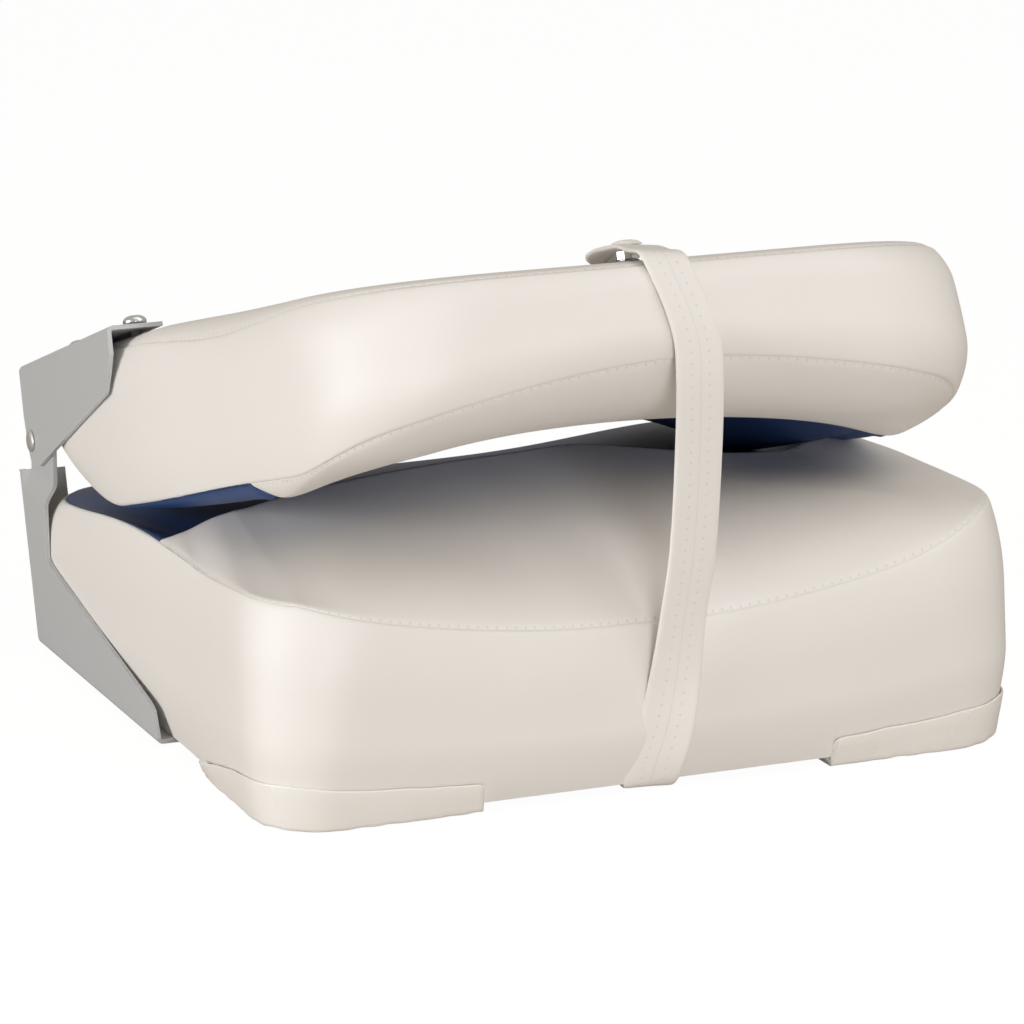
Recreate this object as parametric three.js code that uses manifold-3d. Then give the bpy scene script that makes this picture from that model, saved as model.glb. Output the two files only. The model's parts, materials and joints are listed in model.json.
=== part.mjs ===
// Folding boat seat, folded and strapped: a padded seat and a padded backrest, hinged on two pairs of
// steel brackets and held shut by a vinyl strap with a snap fastener.
// Millimetres. The front faces -Y, the hinges are at +Y, +Z is up and the floor is at Z = 0.
import * as THREE from 'three';
import { mergeVertices } from 'three/addons/utils/BufferGeometryUtils.js';
import Module from 'manifold-3d';

const wasm = await Module();
wasm.setup();

// Clearances and sheet
const gap = 0.3;
const overrun = 4;
const sheet = 2.3;
const bendInside = 1.2;
const vinyl = 1.2;

// The brackets' outer faces and the cushions between them
const bracketHalfWidth = 206;
const seatPlay = 0.9;
const backPlay = 1.3;

// Seat cushion
const seatHalfWidth = bracketHalfWidth - sheet - seatPlay;
const seatFrontFlare = 4.5;
const seatFrontHalfWidth = seatHalfWidth + seatFrontFlare;
const seatFront = 186;
const seatRear = 191;
const seatUnderside = 4.8;
const seatBottomTuck = 6;
const seatFrontTuck = 7;
const seatRearTuck = 13;
const seatSeamTuck = 5.5;
const seatFrontRadius = 33;
const seatRearRadius = 30;
const seatSeamRadiusGain = 13;
const seatSeamHeight = 111;
const seatSeamRearDrop = 19.5;
const seatSeamRearDip = 10;
const seatSeamFrontDip = 22;
const pillowCrest = 136;
const pillowCrestFall = 15.5;
const pillowFrontFall = 28;
const pillowSideFall = 4;
const panHeight = 103;
const panRearFall = 17;
const panSideHeight = 105;
const panSideRearFall = 8;
const seatRidgeAt = 160;
const seatCrownReach = 16;
const seatRightLift = 4;
const seatBorder = 4;
const seatBorderRun = 15;
const hemWidth = 28;

// Seat shell
const shellThickness = 14;
const mountPad = 168;
const mountPadDrop = 1.6;
const mountSpacing = 127;

// Hinge axis, and the slope of the folded and the open backrest
const hingeY = 182.5;
const hingeZ = 115;
const foldedSlope = THREE.MathUtils.degToRad(15.7);
const openAngle = THREE.MathUtils.degToRad(96);

// Backrest cushion: u runs from the hinge to the far end, w from the rear plane to the sitting face
const hingeDepth = 48.2;
const backHalfWidth = bracketHalfWidth - sheet - backPlay;
const backNarrowing = 26.4;
const backFarHalfWidth = backHalfWidth - backNarrowing;
const backStart = 11;
const backEnd = 403;
const backHingeRadius = 34;
const backFarRadius = 55;
const backFarRadiusGain = 20;
const backRearTuck = 7;
const backSeamTuck = 6;
const backRearSeam = 3;
const backRearDrop = 9.6;
const backRearDropEnd = 170;
const backSideSeam = 90;
const backHingeSeam = 60;
const backHingeSlopeEnd = 118;
const backEndSeam = 50;
const backEndSeamGain = 38;
const backEndSeamRun = 90;
const backHingeFace = 64;
const backLumbarMiddle = 68;
const backLumbarRidge = 92;
const backRollMiddle = 75;
const backRollRidge = 99;
const backRidgeAt = 155;
const backCrownReach = 22;
const backBorder = 280;
const boardTop = 16;
const boardThickness = 10;

// Brackets
const upperStart = 10;
const upperLength = 165;
const upperDepth = 62.5;
const upperRearDrop = 7;
const upperFrontRise = 2;
const upperFlange = 30;
const lowerFront = 22.5;
const lowerRear = 182;
const lowerRearLean = 27;
const lowerHeight = 91;
const lowerShoulder = 98.5;
const lowerShoulderAt = 185;
const lowerFlange = 26;
const tongueBehind = 10;
const tongueAhead = 29.5;
const tongueAbove = 13;
const joggleLow = 84;
const joggleHigh = 97;
const plateRadius = 6;
const neckRadius = 16;
const tongueRadius = 11;
const stopClearance = 0.5;

// Fasteners
const rivetRadius = 3;
const rivetHeadRadius = 6;
const rivetHeadHeight = 1.8;
const rivetClinchRadius = 5;
const rivetClinchHeight = 2;
const washerRadius = 7;
const washerThickness = 1;
const screwRadius = 2.5;
const screwHeadRadius = 5.6;
const upperHeadHeight = 3.2;
const upperScrewLength = 29;
const upperScrewInset = 18.5;
const upperScrewRear = 42;
const upperScrewFront = 140;
const lowerHeadHeight = 1.9;
const lowerScrewLength = 12;
const lowerScrewInset = 17;
const lowerScrewEnd = 28;
const insertRadius = 4.6;
const insertLength = 10;
const teeRadius = 3.6;
const teeLength = 8;
const teeFlangeRadius = 6;
const teeFlangeThickness = 1;

// Corner guards
const guardWall = 2.2;
const guardFoot = 25;
const guardCornerHeight = 24;
const guardFrontHeight = 16;
const guardSideHeight = 10;
const guardFrontEnd = 94;
const guardSideEnd = 75;
const guardScrewRadius = 1.8;
const guardScrewHeadRadius = 3.6;
const guardScrewLength = 12;
const guardScrewInset = 13;
const guardScrewAt = 128;

// Strap and snap fastener
const strapWidth = 25;
const strapThickness = 2.4;
const strapDrift = 9;
const strapX = -3;
const anchorSetback = 30;
const anchorScrewSetback = 18;
const anchorHeadHeight = 1.5;
const anchorScrewLength = 10;
const foldSetback = 6;
const snapAt = 358;
const tailAt = 330;
const capRadius = 8;
const capHeight = 2.6;
const socketRadius = 6.2;
const socketHeight = 3.6;
const socketBore = 2.8;
const postRadius = 1.8;
const studRadius = 7;
const studBase = 1.4;
const studShankRadius = 1.5;
const studShankDepth = 16;

// Finishes: sRGB colour, roughness and metalness
const finishes = {
  whiteVinyl: { color: 0xe4dcd5, roughness: 0.55, metalness: 0 },
  blueVinyl: { color: 0x2b4677, roughness: 0.55, metalness: 0 },
  foam: { color: 0xe9e2c4, roughness: 0.95, metalness: 0 },
  blackPlastic: { color: 0x2a2b2d, roughness: 0.6, metalness: 0 },
  guardPlastic: { color: 0xddd9d3, roughness: 0.4, metalness: 0 },
  greyPaint: { color: 0xb0b0ae, roughness: 0.45, metalness: 0.3 },
  plywood: { color: 0xb8925f, roughness: 0.8, metalness: 0 },
  zinc: { color: 0xc8c9cb, roughness: 0.3, metalness: 1 },
  brass: { color: 0xb79a55, roughness: 0.35, metalness: 1 },
};

// Small maths
const { cos, sin, abs, hypot, max, min, exp, PI } = Math;
const clamp01 = (t) => min(max(t, 0), 1);
const smooth = (t, from, to) => {
  const s = clamp01((t - from) / (to - from));
  return s * s * (3 - 2 * s);
};
const mix = (a, b, t) => a + (b - a) * t;

// Closed solids
const toSolid = (geometry) => {
  const bare = geometry.clone();
  for (const name of Object.keys(bare.attributes)) {
    if (name !== 'position') bare.deleteAttribute(name);
  }
  const merged = mergeVertices(bare);
  const index = [];
  for (let i = 0; i < merged.index.count; i += 3) {
    const [a, b, c] = [0, 1, 2].map((j) => merged.index.getX(i + j));
    if (a !== b && b !== c && c !== a) index.push(a, b, c);
  }
  return new wasm.Manifold(new wasm.Mesh({
    numProp: 3,
    vertProperties: new Float32Array(merged.attributes.position.array),
    triVerts: new Uint32Array(index),
  }));
};
const toGeometry = (solid) => {
  const mesh = solid.getMesh();
  const geometry = new THREE.BufferGeometry();
  geometry.setAttribute('position', new THREE.BufferAttribute(Float32Array.from(mesh.vertProperties), 3));
  geometry.setIndex(new THREE.BufferAttribute(Uint32Array.from(mesh.triVerts), 1));
  return geometry;
};
const joined = (solids) => solids.reduce((sum, next) => sum.add(next));
const cutBy = (solid, cutters) => cutters.reduce((rest, cutter) => rest.subtract(cutter), solid);

// A loft through rings of equal length, each counter-clockwise seen from the side that the rings rise to.
// A closed loft joins its last ring to its first; an open one has a fan over each end. Each four-sided
// patch is split along its shorter diagonal.
const loft = (rings, closed = false) => {
  const n = rings[0].length;
  const points = rings.flat();
  const index = [];
  const apart = (i, j) => hypot(...points[i].map((value, axis) => value - points[j][axis]));
  const rows = closed ? rings.length : rings.length - 1;
  for (let i = 0; i < rows; i += 1) {
    const a = i * n;
    const b = ((i + 1) % rings.length) * n;
    for (let j = 0; j < n; j += 1) {
      const k = (j + 1) % n;
      const forward = apart(a + j, b + k) <= apart(a + k, b + j);
      if (forward) index.push(a + j, a + k, b + k, a + j, b + k, b + j);
      else index.push(a + j, a + k, b + j, a + k, b + k, b + j);
    }
  }
  if (!closed) {
    const middle = (ring) => [0, 1, 2].map((i) => ring.reduce((sum, p) => sum + p[i], 0) / n);
    const bottom = points.push(middle(rings[0])) - 1;
    const top = points.push(middle(rings[rings.length - 1])) - 1;
    const last = (rings.length - 1) * n;
    for (let j = 0; j < n; j += 1) {
      const k = (j + 1) % n;
      index.push(bottom, k, j, top, last + j, last + k);
    }
  }
  const geometry = new THREE.BufferGeometry();
  geometry.setAttribute('position', new THREE.Float32BufferAttribute(points.flat(), 3));
  geometry.setIndex(index);
  return toSolid(geometry);
};

// A prism over an outline of (a, b) points; its depth runs square to them
const prism = (outline, depth) => new THREE.ExtrudeGeometry(
  new THREE.Shape(outline.map(([a, b]) => new THREE.Vector2(a, b))),
  { depth, bevelEnabled: false },
);
const turn = (a, b, c) => new THREE.Matrix4().makeBasis(
  new THREE.Vector3(...a),
  new THREE.Vector3(...b),
  new THREE.Vector3(...c),
);
const prismZ = (outline, z0, z1) => toSolid(prism(outline, z1 - z0).translate(0, 0, z0));
const prismX = (outline, x0, x1) => toSolid(
  prism(outline, x1 - x0).applyMatrix4(turn([0, 1, 0], [0, 0, 1], [1, 0, 0])).translate(x0, 0, 0),
);
const prismY = (outline, y0, y1) => toSolid(
  prism(outline, y1 - y0).applyMatrix4(turn([1, 0, 0], [0, 0, 1], [0, -1, 0])).translate(0, y1, 0),
);

// Turned pieces about Z, from (radius, height) profiles that run upwards
const facets = 10;
const turned = (profile) => new THREE.LatheGeometry(
  profile.map(([r, z]) => new THREE.Vector2(r, z)),
  facets,
).rotateX(PI / 2);
const rod = (radius, z0, z1) => turned([[0, z0], [radius, z0], [radius, z1], [0, z1]]);
const tube = (inner, outer, z0, z1) => turned([[inner, z0], [outer, z0], [outer, z1], [inner, z1], [inner, z0]]);
const drill = (x, y, radius, z0, z1) => toSolid(rod(radius, z0, z1).translate(x, y, 0));

// A flat outline with its corners rounded by short curves, limited by the edges beside them
const roundSteps = 5;
const rounded = (points, radii) => {
  const out = [];
  const n = points.length;
  points.forEach((point, i) => {
    const here = new THREE.Vector2(...point);
    const before = new THREE.Vector2(...points[(i + n - 1) % n]).sub(here);
    const after = new THREE.Vector2(...points[(i + 1) % n]).sub(here);
    const half = Math.acos(before.dot(after) / (before.length() * after.length())) / 2;
    const reach = min(radii[i] / Math.tan(half), before.length() / 2, after.length() / 2);
    const a = here.clone().add(before.setLength(reach));
    const b = here.clone().add(after.setLength(reach));
    for (let s = 0; s <= roundSteps && reach > 0; s += 1) {
      const t = s / roundSteps;
      out.push([
        a.x * (1 - t) ** 2 + here.x * 2 * t * (1 - t) + b.x * t ** 2,
        a.y * (1 - t) ** 2 + here.y * 2 * t * (1 - t) + b.y * t ** 2,
      ]);
    }
    if (reach === 0) out.push(point);
  });
  return out;
};

// A rounded rectangle in plan with its own half width and corner radius at each end
const acrossShares = [-0.7, -0.35, 0, 0.35, 0.7];
const alongShares = [0.18, 0.32, 0.4, 0.45, 0.6, 0.8];
const cornerSteps = 3;
const roundedOutline = (y0, y1, half0, half1, radius0, radius1, taper) => {
  const ring = [];
  const corner = (x, y, r, start) => {
    for (let i = 0; i <= cornerSteps; i += 1) {
      const a = start + (i / cornerSteps) * (PI / 2);
      ring.push([x + r * cos(a), y + r * sin(a)]);
    }
  };
  const side = (s) => [mix(half0, half1, taper(s)), mix(y0 + radius0, y1 - radius1, s)];
  for (const s of acrossShares) ring.push([s * (half0 - radius0), y0]);
  corner(half0 - radius0, y0 + radius0, radius0, -PI / 2);
  for (const s of alongShares) ring.push(side(s));
  corner(half1 - radius1, y1 - radius1, radius1, 0);
  for (const s of acrossShares) ring.push([-s * (half1 - radius1), y1]);
  corner(radius1 - half1, y1 - radius1, radius1, PI / 2);
  for (const s of alongShares) ring.push([-side(1 - s)[0], side(1 - s)[1]]);
  corner(radius0 - half0, y0 + radius0, radius0, PI);
  return ring;
};

// Seat cushion surface: a side that bulges between the hem and the seam, and a crowned top
const shellBase = seatUnderside + vinyl + gap;
const shellTop = shellBase + shellThickness;
const foamInset = vinyl + gap * 2;
const panelInset = vinyl + gap;
const foamShare = (shellTop + gap - seatUnderside) / (seatSeamHeight - seatUnderside);
const sideShares = [0.06, foamShare, 0.34, 0.6, 0.82, 1];
const topShares = [1, 0.95, 0.88, 0.76, 0.6, 0.4, 0.2];
const bulgePower = 0.75;
const bulge = (v) => sin(PI * min(v, 1)) ** bulgePower;
const seatTaper = (s) => smooth(s, 0, 0.38);
const seatOutline = (v, inset) => {
  const slack = v < 1 ? 1 - bulge(v) : 1;
  const tuck = mix(seatBottomTuck, seatSeamTuck, v) * slack + inset;
  const y0 = mix(seatFrontTuck, seatSeamTuck, v) * slack + inset - seatFront;
  const y1 = seatRear - seatRearTuck * (1 - v) - inset;
  const r0 = max(seatFrontRadius + seatSeamRadiusGain * v - inset, gap);
  const r1 = max(seatRearRadius - inset, gap);
  return roundedOutline(y0, y1, seatFrontHalfWidth - tuck, seatHalfWidth - tuck, r0, r1, seatTaper);
};
const seatSeam = (x, y) => {
  const towardFront = clamp01((-y / seatFront - 0.45) / 0.55) ** 1.5;
  const middle = max(1 - (x / (0.9 * seatHalfWidth)) ** 2, 0) ** 1.3;
  const rear = smooth(y, -0.3 * seatRear, 0.9 * seatRear);
  const lift = seatRightLift * smooth(x, 0, seatHalfWidth) * (1 - rear);
  const dip = seatSeamRearDip * rear + seatSeamFrontDip * towardFront;
  return seatSeamHeight - seatSeamRearDrop * rear - dip * middle + lift;
};
const seatFace = (x, y) => {
  const side = smooth(abs(x), 0.3 * seatRidgeAt, seatRidgeAt);
  const ahead = max(-y / seatFront, 0) ** 1.2;
  const behind = max(y / seatRear, 0);
  const crest = pillowCrest - pillowCrestFall * (x / seatRidgeAt) ** 2;
  const pillow = crest - mix(pillowFrontFall, pillowSideFall, side) * ahead;
  const middle = panHeight - panRearFall * behind ** 1.5;
  const pan = mix(middle, panSideHeight - panSideRearFall * behind ** 0.7, side);
  const pastBorder = smooth(y, -seatBorder - seatBorderRun, -seatBorder);
  const lift = seatRightLift * smooth(x, 0, seatHalfWidth) * (1 - smooth(y, 0, seatRear));
  return mix(pillow, pan, pastBorder) + lift;
};
const seatSide = (v, inset) => seatOutline(v, inset).map(
  ([x, y]) => [x, y, mix(seatUnderside, seatSeam(x, y), v)],
);
const seatTop = (k, inset, drop) => seatOutline(1, inset).map(([px, py]) => {
  const rise = 1 - exp((-(1 - k) * hypot(px, py)) / seatCrownReach);
  const [x, y] = [px * k, py * k];
  return [x, y, mix(seatSeam(px, py), seatFace(x, y), rise) - drop];
});

// Backrest cushion surface in (x, u, w)
const backFoamShare = (boardTop + boardThickness + gap - backRearSeam) / (backSideSeam - backRearSeam);
const backShares = [0.1, backFoamShare, 0.4, 0.62, 0.84, 1];
const backRear = (u) => backRearDrop * clamp01(1 - u / backRearDropEnd);
const backMiddle = (backStart + backEnd) / 2;
const backOutline = (v, inset) => {
  const slack = v < 1 ? 1 - bulge(v) : 1;
  const tuck = mix(backRearTuck, backSeamTuck, v) * slack + inset;
  const r0 = max(backHingeRadius - inset, gap);
  const r1 = max(backFarRadius + backFarRadiusGain * (1 - v) - inset, gap);
  const [half0, half1] = [backHalfWidth - tuck, backFarHalfWidth - tuck];
  return roundedOutline(backStart + tuck, backEnd - tuck, half0, half1, r0, r1, (s) => s ** 2);
};
const backSeam = (x, u) => {
  const side = mix(backHingeSeam, backSideSeam, smooth(u, backStart, backHingeSlopeEnd));
  const end = backEndSeam + backEndSeamGain * (abs(x) / backHalfWidth) ** 1.7;
  return mix(side, min(end, side), smooth(u, backEnd - backEndSeamRun, backEnd - 0.2 * backEndSeamRun));
};
const backFace = (x, u) => {
  const rise = smooth(u, backStart, backHingeSlopeEnd);
  const roll = smooth(u, backBorder - backCrownReach, backBorder + backCrownReach);
  const a = abs(x) / backRidgeAt;
  const lumbar = mix(backLumbarMiddle, backLumbarRidge, smooth(a, 0.62, 1.08));
  const far = mix(backRollMiddle, backRollRidge, min(a, 1.08) ** 2);
  return mix(min(backHingeFace, lumbar), mix(lumbar, far, roll), rise);
};
const backSide = (v, inset) => backOutline(v, inset).map(
  ([x, u]) => [x, u, mix(backRear(u) + backRearSeam, backSeam(x, u), v)],
);
const backTop = (k, inset, drop) => backOutline(1, inset).map(([px, pu]) => {
  const rise = 1 - exp((-(1 - k) * hypot(px, pu - backMiddle)) / backCrownReach);
  const [x, u] = [px * k, mix(backMiddle, pu, k)];
  return [x, u, mix(backSeam(px, pu), backFace(x, u), rise) - drop];
});
const rearShares = [0.3, 0.7, 0.85, 0.94, 1];
const backBehind = (k, inset, drop) => backOutline(0, inset).map(([px, pu]) => {
  const u = mix(backMiddle, pu, k);
  return [px * k, u, backRear(u) + backRearSeam * k ** 12 + drop];
});
const toBack = (rings) => rings.map((ring) => ring.map(([x, u, w]) => [x, -u, hingeDepth - w]));
const backLoft = (rings, closed) => loft(toBack(rings), closed);

// The scene graph: the seat stands in the part's frame, the backrest turns about the hinge axis
const model = new THREE.Group();
const seat = new THREE.Group();
const back = new THREE.Group();
back.position.set(0, hingeY, hingeZ);
back.rotation.x = -foldedSlope;
model.add(seat, back);
const add = (group, name, solid, finish) => {
  const mesh = new THREE.Mesh(toGeometry(solid), new THREE.MeshStandardMaterial(finishes[finish]));
  mesh.name = name;
  group.add(mesh);
};
const sides = { left: -1, right: 1 };
const ends = ['front', 'rear'];
const reversed = (geometry) => {
  const index = Array.from(geometry.index.array);
  for (let i = 0; i < index.length; i += 3) [index[i], index[i + 1]] = [index[i + 1], index[i]];
  geometry.setIndex(index);
  return geometry;
};
// Brackets are made with the outer face at x = 0 and the seat on the side of +x, then set on one side
const onSide = (solid, side) => {
  const geometry = toGeometry(solid);
  if (side < 0) return toSolid(geometry.translate(-bracketHalfWidth, 0, 0));
  return toSolid(reversed(geometry.scale(-1, 1, 1).translate(bracketHalfWidth, 0, 0)));
};

// Sheet bent once along a line from one (y, z) point to another: the flange points inward and lies on the
// right of the line's direction, the plate hangs on its left
const bendOutside = bendInside + sheet;
const bendSteps = 4;
const bentSheet = (from, to, depth, flange) => {
  const arc = (r, start, end) => Array.from({ length: bendSteps + 1 }, (_, i) => {
    const a = mix(start, end, i / bendSteps);
    return [bendOutside + r * cos(a), r * sin(a) - bendOutside];
  });
  const section = [
    [0, -depth],
    [sheet, -depth],
    ...arc(bendInside, PI, PI / 2),
    [flange, -sheet],
    [flange, 0],
    ...arc(bendOutside, PI / 2, PI),
  ];
  const [dy, dz] = [to[0] - from[0], to[1] - from[1]];
  const run = hypot(dy, dz);
  const frame = turn([1, 0, 0], [0, dz / run, -dy / run], [0, dy / run, dz / run]);
  return toSolid(prism(section, run).applyMatrix4(frame).translate(0, ...from));
};

// Upper bracket, in the backrest's frame
const upperRearPoint = [upperStart, hingeDepth - upperRearDrop];
const upperFrontPoint = [upperStart - upperLength, hingeDepth + upperFrontRise];
const upperLift = (upperFrontRise + upperRearDrop) / upperLength;
const upperTilt = -Math.atan(upperLift);
const upperFaceAt = (u) => upperRearPoint[1] + (u + upperStart) * upperLift;
const upperEdgeShares = [[0.988, 0.256], [0.909, 0.512], [0.115, 1], [0.026, 0.976], [-0.001, 0.624]];
const upperCornerShares = [1, 1, 1.2, 1, 1.4];
const upperEdge = upperEdgeShares.map(
  ([along, deep]) => [upperStart - along * upperLength, hingeDepth - deep * upperDepth],
);
const upperPlate = prismX(
  rounded(
    [
      [upperRearPoint[0], upperRearPoint[1] + overrun],
      [upperFrontPoint[0], upperFrontPoint[1] + overrun],
      ...upperEdge,
    ],
    [0, 0, ...upperCornerShares.map((share) => share * plateRadius)],
  ),
  -overrun,
  upperFlange + overrun,
);
const upperBent = bentSheet(
  [upperRearPoint[0] + overrun, upperRearPoint[1] - overrun * upperLift],
  [upperFrontPoint[0] - overrun, upperFrontPoint[1] + overrun * upperLift],
  upperDepth + overrun,
  upperFlange,
);
const upperBracket = upperBent.intersect(upperPlate);

// Lower bracket, in the part's frame. The rear edge of the open upper bracket lands on its rear corner.
const openTurn = -(foldedSlope + openAngle);
const opened = ([y, z]) => [
  hingeY + y * cos(openTurn) - z * sin(openTurn),
  hingeZ + y * sin(openTurn) + z * cos(openTurn),
];
const stopFrom = opened(upperRearPoint);
const stopTo = opened(upperEdge[upperEdge.length - 1]);
const lowerTopRearY = lowerRear + lowerRearLean;
const stopShare = (lowerTopRearY - stopFrom[0]) / (stopTo[0] - stopFrom[0]);
const lowerTopRearZ = mix(stopFrom[1], stopTo[1], stopShare) - stopClearance;
const flangeLevel = lowerHeadHeight + gap;
const lowerLength = lowerFront + lowerRear;
const leanPerHeight = lowerRearLean / (lowerTopRearZ - flangeLevel);
const rearEdgeAt = (z) => lowerRear + (z - flangeLevel) * leanPerHeight;
const neckShares = [[0.905, 0.9], [0.897, 0.558], [0.044, 0.196]];
const [neckTop, neckCorner, noseTop] = neckShares.map(
  ([along, high]) => [along * lowerLength - lowerFront, flangeLevel + high * lowerHeight],
);
const lowerOutline = (rearShift, floorShift) => {
  const floor = flangeLevel + floorShift;
  return rounded(
    [
      [-lowerFront, floor],
      [rearEdgeAt(floor) + rearShift, floor],
      [rearEdgeAt(lowerTopRearZ) + rearShift, lowerTopRearZ - rearShift * leanPerHeight],
      [lowerShoulderAt, lowerShoulder],
      [lowerShoulderAt, joggleLow],
      [neckTop[0], joggleLow],
      neckCorner,
      noseTop,
    ],
    [0, 0, 0, 0, 0, 0, neckRadius, plateRadius],
  );
};
const lowerFloorPart = bentSheet(
  [-lowerFront - overrun, flangeLevel],
  [lowerRear + overrun, flangeLevel],
  lowerShoulder,
  lowerFlange,
).intersect(prismX(lowerOutline(-bendOutside, -overrun), -overrun, lowerFlange + overrun));
const lowerRearPart = bentSheet(
  [rearEdgeAt(flangeLevel), flangeLevel],
  [rearEdgeAt(lowerShoulder), lowerShoulder],
  lowerLength + lowerRearLean,
  lowerFlange,
).intersect(prismX(lowerOutline(overrun, bendOutside), -overrun, lowerFlange + overrun));
const tongueOffset = sheet + gap;
const tongueTop = hingeZ + tongueAbove;
const tongueSection = prismY(
  [
    [0, joggleLow - overrun],
    [sheet, joggleLow - overrun],
    [sheet, joggleLow],
    [tongueOffset + sheet, joggleHigh],
    [tongueOffset + sheet, tongueTop],
    [tongueOffset, tongueTop],
    [tongueOffset, joggleHigh],
    [0, joggleLow],
  ],
  hingeY - tongueAhead - overrun,
  hingeY + tongueBehind + overrun,
);
const tongueOutline = rounded(
  [
    [neckTop[0], joggleLow - overrun],
    [hingeY + tongueBehind, joggleLow - overrun],
    [hingeY + tongueBehind, tongueTop],
    [hingeY - tongueAhead, tongueTop],
    [hingeY - tongueAhead, joggleHigh],
    [neckTop[0], joggleLow],
  ],
  [0, 0, tongueRadius, tongueRadius, tongueRadius, tongueRadius],
);
const tongue = tongueSection.intersect(prismX(tongueOutline, -overrun, tongueOffset + sheet + overrun));
const lowerBracket = joined([lowerFloorPart, lowerRearPart, tongue]);

// Places of the fasteners
const upperScrewPlaces = [upperScrewFront, upperScrewRear];
const upperScrewX = bracketHalfWidth - upperScrewInset;
const lowerScrewX = bracketHalfWidth - lowerScrewInset;
const lowerScrewPlaces = [lowerScrewEnd - lowerFront, lowerRear - lowerScrewEnd];
const mountPlaces = [[-1, -1], [1, -1], [1, 1], [-1, 1]].map(
  ([a, b]) => [(a * mountSpacing) / 2, (b * mountSpacing) / 2],
);
const onFlange = (geometry, x, u) => toSolid(geometry.rotateX(upperTilt).translate(x, -u, upperFaceAt(u)));
const guardScrewPlaces = (side) => [
  [side * guardScrewAt, seatFrontTuck + guardScrewInset - seatFront],
  [side * (seatFrontHalfWidth - seatBottomTuck - guardScrewInset), guardScrewInset - guardScrewAt],
];

// Screws: the head's underside is at z = gap, the shank hangs below
const screw = (radius, headRadius, headHeight, length) => turned([
  [0, gap - length],
  [radius * 0.7, gap - length],
  [radius, gap - length + radius * 0.5],
  [radius, gap],
  [headRadius, gap],
  [headRadius, gap + headHeight * 0.45],
  [headRadius * 0.72, gap + headHeight * 0.9],
  [headRadius * 0.3, gap + headHeight],
  [0, gap + headHeight],
]);
const upsideDown = (geometry) => geometry.rotateX(PI);

// Seat shell with its mounting pad, and the threaded inserts moulded into it
const shellHoles = [];
const shellDepth = lowerScrewLength + gap * 2;
for (const side of Object.values(sides)) {
  for (const y of lowerScrewPlaces) {
    shellHoles.push(drill(side * lowerScrewX, y, insertRadius + gap, 0, shellBase + insertLength + gap));
    shellHoles.push(drill(side * lowerScrewX, y, screwRadius + gap, 0, flangeLevel + shellDepth));
  }
  for (const [x, y] of guardScrewPlaces(side)) {
    shellHoles.push(drill(x, y, guardScrewRadius + gap, 0, guardScrewLength + seatUnderside));
  }
}
for (const [x, y] of mountPlaces) {
  shellHoles.push(drill(x, y, insertRadius + gap, 0, shellBase + insertLength + gap));
}
const snapX = strapX - strapDrift * 0.2;
const hemFront = seatFrontTuck - seatFront;
const anchorPlace = [snapX, hemFront + anchorScrewSetback];
shellHoles.push(drill(...anchorPlace, screwRadius + gap, 0, anchorScrewLength + seatUnderside));
const shellSlab = prismZ(seatOutline(0, panelInset), shellBase, shellTop);
const mountFace = shellBase - mountPadDrop;
const padShares = [[-0.5, -0.5], [0.5, -0.5], [0.5, 0.5], [-0.5, 0.5]];
const padCorners = padShares.map(([a, b]) => [a * mountPad, b * mountPad]);
const padRadii = padCorners.map(() => neckRadius);
const padBlock = prismZ(rounded(padCorners, padRadii), mountFace, shellTop);
add(seat, 'seat_shell', cutBy(shellSlab.add(padBlock), shellHoles), 'blackPlastic');
const insert = (x, y, base) => toSolid(
  tube(screwRadius + gap, insertRadius, base, base + insertLength).translate(x, y, 0),
);
mountPlaces.forEach(([x, y], i) => add(seat, `mount_insert_${i + 1}`, insert(x, y, shellBase), 'brass'));
for (const [name, side] of Object.entries(sides)) {
  lowerScrewPlaces.forEach((y, i) => {
    add(seat, `bracket_insert_${name}_${ends[i]}`, insert(side * lowerScrewX, y, shellBase), 'brass');
  });
}

// Seat foam and covers
const foamSides = sideShares.filter((v) => v > foamShare && v < 1);
const flat = (ring, z) => ring.map(([x, y]) => [x, y, z]);
add(seat, 'seat_foam', loft([
  flat(seatOutline(foamShare, foamInset), shellTop + gap),
  ...foamSides.map((v) => seatSide(v, foamInset)),
  seatTop(1, foamInset, panelInset),
  ...topShares.slice(1).map((k) => seatTop(k, panelInset, panelInset)),
]), 'foam');
add(seat, 'seat_cover_boxing', cutBy(loft([
  flat(seatOutline(0, hemWidth), seatUnderside),
  seatSide(0, 0),
  ...sideShares.map((v) => seatSide(v, 0)),
  ...sideShares.toReversed().map((v) => seatSide(v, vinyl)),
  flat(seatOutline(0, vinyl), seatUnderside + vinyl),
  flat(seatOutline(0, hemWidth), seatUnderside + vinyl),
], true), shellHoles), 'whiteVinyl');
const seatPanel = loft([
  ...topShares.toReversed().map((k) => seatTop(k, panelInset, vinyl)),
  ...topShares.map((k) => seatTop(k, panelInset, 0)),
]);
const seatReach = seatFrontHalfWidth + overrun;
const seatTall = pillowCrest + seatRightLift + overrun;
const block = (y0, y1, z0, z1) => prismZ(
  [[-seatReach, y0], [seatReach, y0], [seatReach, y1], [-seatReach, y1]],
  z0,
  z1,
);
const seatAhead = block(-seatReach, -seatBorder - gap / 2, 0, seatTall);
const seatBehind = block(gap / 2 - seatBorder, seatReach, 0, seatTall);
add(seat, 'seat_cover_front', seatPanel.intersect(seatAhead), 'whiteVinyl');
add(seat, 'seat_cover_rear', seatPanel.intersect(seatBehind), 'blueVinyl');

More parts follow.
